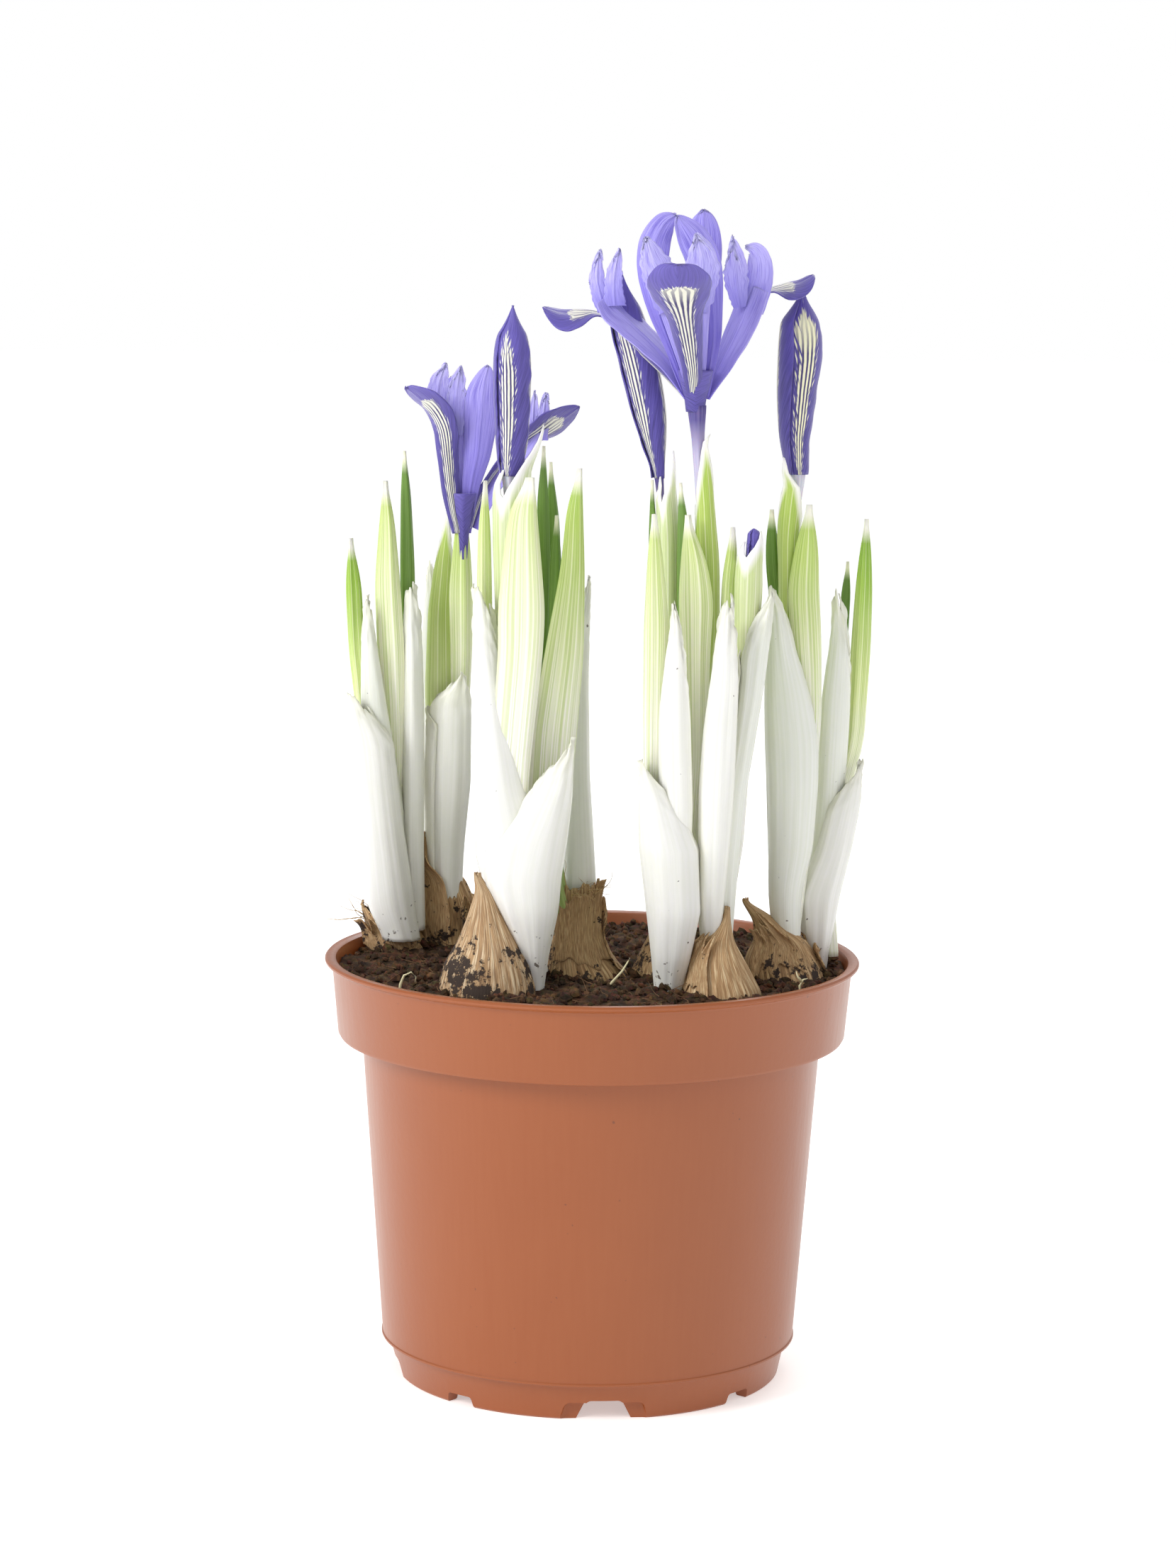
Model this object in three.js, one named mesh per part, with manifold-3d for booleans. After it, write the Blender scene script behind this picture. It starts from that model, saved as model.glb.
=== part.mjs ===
// A pot of forced dwarf irises: seven bulbs standing in potting soil in a 12 cm nursery pot.
// Millimetres, +Z up, +X to the right and -Y to the front. The origin is the pot's axis at the
// level that it stands on. Every leaf, sheath, bract, bulb and petal is a closed solid of its own.
import * as THREE from 'three';
import { mergeVertices } from 'three/addons/utils/BufferGeometryUtils.js';
import Module from 'manifold-3d';

const wasm = await Module();
wasm.setup();

// Driving dimensions of the pot, from the lip down to the foot.
const GAP = 0.3;
const WALL = 1.2;
const LIP_RADIUS = 60;
const LIP_HEIGHT = 1.2;
const POT_HEIGHT = 94.9;
const BAND_TOP_RADIUS = 58.5;
const BAND_BOTTOM_RADIUS = 57;
const BAND_BOTTOM = 77.1;
const BODY_TOP_RADIUS = 51.5;
const BODY_BOTTOM_RADIUS = 46.6;
const FOOT_TOP = 8.4;
const FOOT_RADIUS = 43.4;
const FOOT_STEP = 1.6;
const FOOT_THICKNESS = 3;
const FLOOR_UNDERSIDE = 4.8;
const FLOOR_TOP = 6.2;
const POT_SEGMENTS = 48;
const NOTCH_TURN = 5;
const NOTCH_HEIGHT = 4.5;
const DRAIN_RADIUS = 3.2;
const DRAIN_CIRCLE = 31;

// Driving dimensions of the soil and of the plants.
const SOIL_LEVEL = 92.3;
const SOIL_SEGMENTS = 24;
const LEAF_SIDES = 8;
const BULB_SIDES = 10;
const THINNEST = 0.4;
const PETAL = 0.8;
const PETAL_STEPS = 2;

const MATERIALS = {
  terracotta_plastic: { color: 0xb9694a, roughness: 0.5 },
  soil: { color: 0x33231a, roughness: 1 },
  tunic: { color: 0xb98f60, roughness: 0.8 },
  sheath: { color: 0xe9ecdb, roughness: 0.45 },
  leaf: { color: 0x9fbf5a, roughness: 0.5 },
  green_leaf: { color: 0x4c7a34, roughness: 0.5 },
  bract: { color: 0xcbd98c, roughness: 0.45 },
  petal: { color: 0x5b49a8, roughness: 0.5 },
  pale_petal: { color: 0x8b7fd6, roughness: 0.5 },
};

function material(slot) {
  return new THREE.MeshStandardMaterial({ ...MATERIALS[slot], metalness: 0, flatShading: true });
}

// ---- Solids ----

function solidFromTriangles(positions, triangles) {
  const mesh = new wasm.Mesh({
    numProp: 3,
    vertProperties: new Float32Array(positions),
    triVerts: new Uint32Array(triangles),
  });
  return new wasm.Manifold(mesh);
}

// Merges a geometry's shared corners and drops the faces that shrink to nothing on the axis.
function solidFromGeometry(geometry) {
  const plain = new THREE.BufferGeometry();
  plain.setAttribute('position', geometry.getAttribute('position'));
  plain.setIndex(geometry.getIndex());
  const merged = mergeVertices(plain, 1e-4);
  const corners = merged.getIndex().array;
  const triangles = [];
  for (let i = 0; i < corners.length; i += 3) {
    const [a, b, c] = corners.slice(i, i + 3);
    if (a !== b && b !== c && c !== a) {
      triangles.push(a, b, c);
    }
  }
  return solidFromTriangles(merged.getAttribute('position').array, triangles);
}

function geometryFromSolid(solid) {
  const mesh = solid.getMesh();
  const geometry = new THREE.BufferGeometry();
  geometry.setAttribute('position', new THREE.BufferAttribute(mesh.vertProperties, 3));
  geometry.setIndex(new THREE.BufferAttribute(mesh.triVerts, 1));
  geometry.computeVertexNormals();
  return geometry;
}

// Turns an outline of [radius, height] points about the Z axis.
function revolve(outline, segments) {
  const points = outline.map(([radius, height]) => new THREE.Vector2(radius, height));
  return new THREE.LatheGeometry(points, segments).rotateX(Math.PI / 2);
}

// Closes a stack of equal rings, given from the first to the last, into one solid.
function skin(rings) {
  const sides = rings[0].length;
  const triangles = [];
  for (let level = 0; level < rings.length - 1; level++) {
    for (let side = 0; side < sides; side++) {
      const a = level * sides + side;
      const b = level * sides + (side + 1) % sides;
      triangles.push(a, b, b + sides, a, b + sides, a + sides);
    }
  }
  const last = (rings.length - 1) * sides;
  for (let side = 1; side < sides - 1; side++) {
    triangles.push(0, side + 1, side);
    triangles.push(last, last + side, last + side + 1);
  }
  return solidFromTriangles(rings.flat(2), triangles);
}

// Smooth levels through rows of [x, y, z, width, thickness], with so many steps from row to row.
function smoothLevels(rows, steps) {
  const column = (index) => rows.map((row) => row[index]);
  const curve = (a, b, c) => {
    const points = column(a).map((value, i) => new THREE.Vector3(value, column(b)[i], column(c)[i]));
    return new THREE.CatmullRomCurve3(points, false, 'catmullrom', 0.4);
  };
  const place = curve(0, 1, 2);
  const size = curve(3, 4, 4);
  const count = (rows.length - 1) * steps;
  const levels = [];
  for (let i = 0; i <= count; i++) {
    const at = place.getPoint(i / count);
    const wide = size.getPoint(i / count);
    levels.push({
      at,
      wide: Math.max(wide.x, THINNEST),
      thick: Math.max(wide.y, THINNEST),
    });
  }
  return levels;
}

// An upright piece: flat oval sections stacked along the rows [height, x, y, width, depth].
function upright(rows, sides, grow) {
  const levels = smoothLevels(rows.map(([z, x, y, width, depth]) => [x, y, z, width, depth]), 1);
  levels[0].at.z -= grow;
  levels[levels.length - 1].at.z += grow;
  return skin(levels.map(({ at, wide, thick }) => {
    const ring = [];
    for (let side = 0; side < sides; side++) {
      const turn = side * 2 * Math.PI / sides;
      ring.push([
        at.x + Math.cos(turn) * (wide / 2 + grow),
        at.y + Math.sin(turn) * (thick / 2 + grow),
        at.z,
      ]);
    }
    return ring;
  }));
}

// A petal: thin oval sections along the rows [x, y, z, width], facing outwards in a compass
// direction given in degrees from +X towards +Y.
function ribbon(rows, facing, grow) {
  const levels = smoothLevels(rows.map(([x, y, z, width]) => [x, y, z, width, PETAL]), PETAL_STEPS);
  const turn = THREE.MathUtils.degToRad(facing);
  const across = new THREE.Vector3(-Math.sin(turn), Math.cos(turn), 0);
  return skin(levels.map(({ at, wide, thick }, i) => {
    const before = levels[Math.max(i - 1, 0)].at;
    const after = levels[Math.min(i + 1, levels.length - 1)].at;
    const along = after.clone().sub(before).normalize();
    const outward = along.clone().cross(across).normalize();
    const ring = [];
    for (let side = 0; side < LEAF_SIDES; side++) {
      const angle = side * 2 * Math.PI / LEAF_SIDES;
      const point = at.clone();
      point.addScaledVector(across, Math.cos(angle) * (wide / 2 + grow));
      point.addScaledVector(outward, Math.sin(angle) * (thick / 2 + grow));
      ring.push(point.toArray());
    }
    return ring;
  }));
}

function joined(solids) {
  return solids.reduce((whole, solid) => whole.add(solid));
}

function largestBody(solid) {
  const bodies = solid.decompose();
  bodies.sort((one, other) => other.volume() - one.volume());
  return bodies[0];
}

// ---- The object's pieces are placed in order: each one makes room for those before it ----

const object = new THREE.Group();
const placed = [];

function boxesMeet(one, other) {
  return [0, 1, 2].every((axis) => one.min[axis] < other.max[axis] && other.min[axis] < one.max[axis]);
}

function addMesh(name, slot, solid) {
  const mesh = new THREE.Mesh(geometryFromSolid(solid), material(slot));
  mesh.name = name;
  object.add(mesh);
}

// make(grow) gives the piece's solid, made thicker by grow all round.
function place(name, slot, make) {
  const room = make(GAP);
  const box = room.boundingBox();
  const neighbours = placed.filter((other) => boxesMeet(box, other.box));
  const cut = neighbours.reduce((solid, other) => solid.subtract(other.room), make(0));
  addMesh(name, slot, largestBody(cut));
  placed.push({ room, box });
}

function placeUpright(name, slot, rows) {
  place(name, slot, (grow) => upright(rows, LEAF_SIDES, grow));
}

// ---- Pot ----

function innerRadius(height) {
  const bandShare = (height - BAND_BOTTOM) / (POT_HEIGHT - BAND_BOTTOM);
  const bodyShare = (height - FOOT_TOP) / (BAND_BOTTOM - FOOT_TOP);
  if (bandShare > 0) {
    return THREE.MathUtils.lerp(BAND_BOTTOM_RADIUS, BAND_TOP_RADIUS, bandShare) - WALL;
  }
  return THREE.MathUtils.lerp(BODY_BOTTOM_RADIUS, BODY_TOP_RADIUS, bodyShare) - WALL;
}

function potOutline() {
  const footTopRadius = BODY_BOTTOM_RADIUS - FOOT_STEP;
  return [
    [DRAIN_RADIUS, FLOOR_UNDERSIDE],
    [FOOT_RADIUS - FOOT_THICKNESS, FLOOR_UNDERSIDE],
    [FOOT_RADIUS - FOOT_THICKNESS, 0],
    [FOOT_RADIUS, 0],
    [footTopRadius, FOOT_TOP - 0.4],
    [BODY_BOTTOM_RADIUS - 0.4, FOOT_TOP],
    [BODY_BOTTOM_RADIUS, FOOT_TOP + 0.5],
    [BODY_TOP_RADIUS, BAND_BOTTOM - 0.6],
    [BODY_TOP_RADIUS + 0.6, BAND_BOTTOM],
    [BAND_BOTTOM_RADIUS - 0.6, BAND_BOTTOM],
    [BAND_BOTTOM_RADIUS, BAND_BOTTOM + 0.6],
    [BAND_TOP_RADIUS, POT_HEIGHT - LIP_HEIGHT - 0.3],
    [LIP_RADIUS, POT_HEIGHT - LIP_HEIGHT],
    [LIP_RADIUS, POT_HEIGHT - 0.3],
    [LIP_RADIUS - 0.4, POT_HEIGHT],
    [LIP_RADIUS - 2, POT_HEIGHT],
    [innerRadius(POT_HEIGHT), POT_HEIGHT - 0.7],
    [innerRadius(BAND_BOTTOM + WALL), BAND_BOTTOM + WALL],
    [innerRadius(BAND_BOTTOM), BAND_BOTTOM],
    [innerRadius(FOOT_TOP), FOOT_TOP + 0.5],
    [innerRadius(FOOT_TOP) - 2, FLOOR_TOP],
    [DRAIN_RADIUS, FLOOR_TOP],
    [DRAIN_RADIUS, FLOOR_UNDERSIDE],
  ];
}

// A block with sloping sides that cuts a way through the foot ring, looking outwards along +Y.
function notchBlock(topWidth, bottomWidth, height, near, far) {
  const shape = new THREE.Shape();
  shape.moveTo(-bottomWidth / 2, -1);
  shape.lineTo(bottomWidth / 2, -1);
  shape.lineTo(topWidth / 2, height);
  shape.lineTo(-topWidth / 2, height);
  const block = new THREE.ExtrudeGeometry(shape, { depth: far - near, bevelEnabled: false });
  return block.rotateX(Math.PI / 2).translate(0, far, 0);
}

// Four deep notches with a pocket round each, and four shallow ones between them.
function notches() {
  const blocks = [];
  const inner = FOOT_RADIUS - FOOT_THICKNESS - 1;
  for (let quarter = 0; quarter < 4; quarter++) {
    const deep = THREE.MathUtils.degToRad(NOTCH_TURN + 180 + quarter * 90);
    const shallow = deep + Math.PI / 4;
    blocks.push(notchBlock(7, 13, NOTCH_HEIGHT, inner, LIP_RADIUS).rotateZ(deep));
    blocks.push(notchBlock(17, 20, NOTCH_HEIGHT - 0.6, FOOT_RADIUS - 1.6, LIP_RADIUS).rotateZ(deep));
    blocks.push(notchBlock(6.5, 8, 2.4, inner, LIP_RADIUS).rotateZ(shallow));
  }
  return blocks.map(solidFromGeometry);
}

function drainHoles() {
  const holes = [];
  for (let i = 0; i < 6; i++) {
    const hole = new THREE.CylinderGeometry(DRAIN_RADIUS, DRAIN_RADIUS, 6, 12).rotateX(Math.PI / 2);
    hole.translate(DRAIN_CIRCLE, 0, (FLOOR_UNDERSIDE + FLOOR_TOP) / 2);
    holes.push(solidFromGeometry(hole.rotateZ(i * Math.PI / 3)));
  }
  return holes;
}

function addPot() {
  const whole = solidFromGeometry(revolve(potOutline(), POT_SEGMENTS));
  const cutters = [...notches(), ...drainHoles()];
  addMesh('pot', 'terracotta_plastic', cutters.reduce((pot, cutter) => pot.subtract(cutter), whole));
}

// ---- Soil, filling the pot round the bulbs ----

// The surface is lumpy, and heaped at the back left against the wall.
function soilHeight(x, y) {
  const lumps = 0.7 * Math.sin(0.31 * x + 1) * Math.cos(0.27 * y) + 0.4 * Math.sin(0.5 * y + 0.2 * x);
  const heap = 3.6 * Math.exp(-((x + 34) ** 2 + (y - 38) ** 2) / 220);
  return SOIL_LEVEL + lumps + heap;
}

function soilSolid() {
  const edge = innerRadius(SOIL_LEVEL) - GAP;
  const rings = [1, 0.82, 0.64, 0.46, 0.28, 0.12, 0];
  const outline = [
    [0, FLOOR_TOP + GAP],
    [innerRadius(FOOT_TOP) - 2.2, FLOOR_TOP + GAP],
    [innerRadius(FOOT_TOP) - GAP, FOOT_TOP + 1],
    [innerRadius(BAND_BOTTOM) - GAP, BAND_BOTTOM + GAP],
    [innerRadius(BAND_BOTTOM + 2) - GAP, BAND_BOTTOM + WALL + 0.6],
    ...rings.map((share) => [edge * share, SOIL_LEVEL]),
  ];
  const geometry = revolve(outline, SOIL_SEGMENTS);
  const corners = geometry.getAttribute('position');
  for (let i = 0; i < corners.count; i++) {
    if (corners.getZ(i) > SOIL_LEVEL - 0.01) {
      corners.setZ(i, soilHeight(corners.getX(i), corners.getY(i)));
    }
  }
  return solidFromGeometry(geometry);
}

function addSoil() {
  const cut = placed.reduce((solid, other) => solid.subtract(other.room), soilSolid());
  addMesh('potting_soil', 'soil', largestBody(cut));
}

// ---- Bulbs: rows of [height, x, y, width, depth] from the base plate to the dry tip ----

// The room inside the pot, open above the rim, that a bulb near the wall stays within.
function potRoom() {
  return solidFromGeometry(revolve([
    [0, FLOOR_TOP + GAP],
    [innerRadius(FOOT_TOP) - 3, FLOOR_TOP + GAP],
    [innerRadius(BAND_BOTTOM) - GAP, BAND_BOTTOM + WALL + GAP],
    [innerRadius(BAND_BOTTOM + 2) - GAP, BAND_BOTTOM + WALL + 0.6],
    [innerRadius(POT_HEIGHT) - GAP, POT_HEIGHT],
    [LIP_RADIUS, POT_HEIGHT + 1],
    [LIP_RADIUS, 2 * POT_HEIGHT],
    [0, 2 * POT_HEIGHT],
  ], POT_SEGMENTS));
}

const BULBS = {
  bulb_1: [[80, -43, 24, 6, 6], [85, -43, 24, 14, 16], [92, -44, 23.5, 15, 16], [97, -46, 22, 12, 13],
    [100, -48.5, 20, 8, 9], [102.5, -52, 19, 2, 2]],
  bulb_2: [[76, -34.5, 28, 6, 6], [82, -34.5, 28, 17, 17], [93, -34.5, 28, 17, 17],
    [100, -34.5, 27, 16.5, 15], [105, -35, 26, 13.5, 12], [110, -36, 25, 10.5, 9],
    [115, -37, 23, 6.5, 5], [118.7, -38.5, 22, 1.2, 1.2]],
  bulb_3: [[78, -23, -28, 6, 6], [84, -23, -28, 19, 19], [92, -23, -28.3, 21.6, 21.6],
    [98, -22.9, -28, 18.6, 18.5], [103, -22.5, -27.5, 13.5, 14], [109, -23, -27, 8, 9],
    [114, -23.7, -27, 3.6, 4], [117.3, -25.5, -27, 1, 1]],
  bulb_4: [[78, -1.5, -7, 6, 6], [84, -1.5, -7, 18, 18], [92, -1.5, -7.5, 19, 19],
    [96, -3, -6, 13.9, 16], [101, -3.5, -5, 10.6, 12], [107, -3.3, -3, 9, 10],
    [112, -3.2, -2, 8.8, 8.5]],
  bulb_5: [[82, 15, -9, 5, 5], [87, 15, -9, 13, 13], [92, 15, -9, 13, 14], [96, 15, -8.5, 10, 11],
    [100, 14.6, -8, 5, 6], [103.9, 14.2, -8, 1, 1]],
  bulb_6: [[78, 28.5, -25.5, 6, 6], [84, 28.5, -25.5, 16, 17], [92, 28.5, -26, 17, 19],
    [99, 27.2, -25, 11.8, 13], [103, 27.4, -25, 6.8, 8], [107, 28.6, -25, 3, 4],
    [110, 29.5, -25, 0.8, 0.8]],
  bulb_7: [[79, 43.5, -5, 6, 6], [84, 43.5, -5, 17, 19], [91, 43.8, -5.5, 18.5, 22],
    [96, 42.4, -5, 15.9, 17], [100, 42, -4.5, 11, 12], [104, 39, -4.5, 5.7, 8],
    [107, 35.5, -4, 2.5, 3], [108.5, 33.6, -4, 0.8, 0.8]],
};

function addBulbs() {
  const room = potRoom();
  for (const [name, rows] of Object.entries(BULBS)) {
    place(name, 'tunic', (grow) => upright(rows, BULB_SIDES, grow).intersect(room));
  }
}

// ---- Shoots: each outer sheath wraps the leaves and the flower's bracts of its bulb ----

const LEAVES = {
  leaf_1a: [[100, -47, 20, 2, 1.5], [130, -51, 18, 3, 1.6], [162, -54.3, 16, 3.6, 1.6],
    [177, -55, 15, 3.5, 1.4], [186.5, -55.7, 15, 0.6, 0.6]],
  leaf_1b: [[100, -45, 20, 3, 2], [141, -45.5, 16, 4.5, 2.2], [162, -46.5, 15, 6.2, 2.4],
    [177, -47.4, 15, 5.8, 2], [192, -47.5, 15, 3.1, 1.4], [199.5, -48, 15, 0.8, 0.6]],
  leaf_2a: [[112, -31.5, 25, 2.5, 1.8], [161, -30.8, 23, 4.8, 2], [175, -31, 22, 5.4, 2],
    [186, -30.9, 21, 3.6, 1.6], [196.3, -30.9, 21, 0.6, 0.6]],
  leaf_3a: [[110, -20, -12, 2.5, 1.5], [150, -24, -11, 3, 1.6], [180, -24.8, -12, 3.3, 1.6],
    [192, -24.9, -13, 2.6, 1.4], [201.9, -24.7, -14, 0.6, 0.6]],
  leaf_3b: [[110, -17, -20, 5, 3], [124, -18.6, -22, 8, 3], [139, -18.6, -23, 8.6, 3],
    [166, -16.5, -24, 9.7, 3], [175, -16.4, -24, 10.4, 3], [184, -16.4, -24, 8.7, 2.6],
    [193, -16.4, -24, 6.9, 2.2], [199, -16, -24, 5.2, 1.6], [203.4, -14.5, -24, 1, 1]],
  leaf_3f: [[110, -11, -16, 6, 2.5], [125, -10.5, -16, 9, 2.6], [148, -9.1, -16, 10, 2.6],
    [165, -7.1, -16, 8.5, 2.6], [183, -5.5, -15, 5.4, 2.2], [197, -5.1, -14, 3.5, 1.6],
    [204.8, -4, -14, 0.8, 0.8]],
  leaf_4a: [[112, 13, -25, 3, 2], [150, 12.9, -26, 5.1, 2.2], [172, 12.9, -26, 5.5, 2.2],
    [183, 12.5, -26, 4, 1.8], [190, 12.3, -26, 2.8, 1.4], [196, 12, -26, 0.8, 0.8]],
  leaf_4b: [[112, 20.5, -19, 3, 2], [142, 22.1, -20, 4.5, 2.4], [166, 21.6, -20, 6.4, 2.6],
    [177, 21.5, -20, 7.7, 2.6], [186, 20.9, -20, 5.7, 2.2], [192, 19.8, -20, 2.5, 1.6],
    [195.4, 19.3, -20, 0.8, 0.8]],
  leaf_5a: [[120, 28, -18, 2, 1.4], [170, 28.2, -18, 2.8, 1.5], [182, 28.5, -18, 2.8, 1.4],
    [189, 29.3, -18, 2.2, 1.2], [192.7, 29.3, -18, 0.6, 0.6]],
  leaf_6b: [[114, 46.5, -3, 3, 2.4], [150, 47.6, -2, 5.5, 2.6], [160, 47, -2, 6.4, 2.8],
    [170, 46.3, -2, 7, 2.8], [178, 45.7, -2, 7, 2.4], [187, 46.2, -2, 5.4, 2],
    [192.5, 46.5, -2, 3, 1.4], [196.6, 46.7, -2, 0.8, 0.8]],
  leaf_7b: [[108, 52, 5, 2.5, 1.6], [130, 55, 5, 4, 2], [144, 58.3, 4, 4.1, 2],
    [165, 59.1, 4, 4.4, 2], [178, 59.5, 4, 3.8, 1.6], [187, 59.7, 4, 2.4, 1.2],
    [193.1, 59.8, 4, 0.6, 0.6]],
};

// The narrow dark leaves have four sharp edges and stand straight.
const GREEN_LEAVES = {
  leaf_1c: [[100, -43, 22, 2, 1.6], [150, -42.5, 20, 3, 1.8], [180, -42.9, 19, 3.3, 2],
    [198, -43.4, 19, 2.2, 1.6], [206, -43.8, 19, 0.5, 0.5]],
  leaf_3c: [[115, -12, -8, 2, 1.5], [180, -11.5, -7, 2.6, 1.6], [197, -12.1, -6, 2.5, 1.4],
    [209.1, -12, -6, 0.5, 0.5]],
  leaf_3d: [[115, -8.5, -5, 2, 1.5], [179, -9.4, -3.5, 3.2, 1.6], [193, -9.9, -3, 3.1, 1.4],
    [205.4, -10.5, -3, 0.5, 0.5]],
  leaf_3e: [[115, -9.5, -11.5, 2, 1.5], [170, -9.2, -11, 2.5, 1.5], [185, -9.1, -10, 2.5, 1.4],
    [194.2, -9, -10, 0.5, 0.5]],
  leaf_4c: [[115, 14, -11, 2, 1.5], [190, 12.2, -10, 2, 1.4], [202.2, 11.8, -10, 0.5, 0.5]],
  leaf_4d: [[145, 19.2, -17.5, 2, 1.4], [185, 18.7, -17, 2.4, 1.4], [194, 18.6, -16.5, 2.2, 1.4],
    [202.1, 17.9, -16, 0.5, 0.5]],
  leaf_6a: [[120, 41, 5, 2, 1.6], [176, 40.2, 5, 3.3, 1.6], [183, 39.2, 5, 3.1, 1.5],
    [190, 38.9, 5, 2.5, 1.3], [194.9, 38.8, 5, 0.6, 0.6]],
  leaf_7a: [[118, 53, 9, 2, 1.4], [165, 55.4, 8, 2.4, 1.4], [177, 55.9, 8, 2.3, 1.3],
    [183.2, 56.2, 8, 0.5, 0.5]],
};

// The bracts that wrap a flower's tube.
const BRACTS = {
  bract_1: [[112, 20, -15, 3, 4], [150, 23, -15, 4.2, 4.5], [169, 24.6, -15, 4.8, 5],
    [186, 24, -15, 5, 5], [203, 22.9, -15, 4.2, 4.2], [209, 22.7, -15, 3.4, 3.2],
    [213.2, 23.4, -15, 0.8, 0.8]],
  bract_2: [[112, 17, -14, 3, 3], [179, 16.1, -14, 4.5, 3], [191, 16, -14, 4.6, 3],
    [200, 15, -14, 4.2, 2.6], [206, 14.8, -14, 2.6, 2], [209.4, 14.9, -14, 0.7, 0.7]],
  bract_3: [[114, 43, 1, 3.5, 3.5], [178, 42.5, 1, 4.4, 4], [190, 42.3, 0.5, 4.8, 4.2],
    [196, 42.3, 0, 4.4, 3.6], [204, 42, 0, 2, 2], [208.5, 41.6, 0, 0.6, 0.6]],
  bract_4: [[110, -18.5, -13, 5, 6], [150, -19, -13.5, 6.5, 7], [175, -19, -14, 6.8, 7],
    [190, -19, -14, 8.1, 7.5], [203, -18.9, -14, 8.3, 7.6], [210, -17, -14, 5, 6],
    [214.5, -15, -14, 1, 1]],
  bract_5: [[110, -34, 26, 4, 3], [150, -35.8, 25, 6.8, 3.5], [170, -35.9, 25, 5.4, 3],
    [183, -34.8, 24, 3.8, 2.2], [193, -33.6, 24, 1, 0.8]],
  bract_6: [[120, 31, -19, 3, 3], [168, 32.6, -20, 5, 4.5], [180, 32.8, -20, 6.2, 5],
    [189, 33, -20, 5.6, 4], [192.5, 34.5, -20, 2.5, 2]],
};

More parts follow.
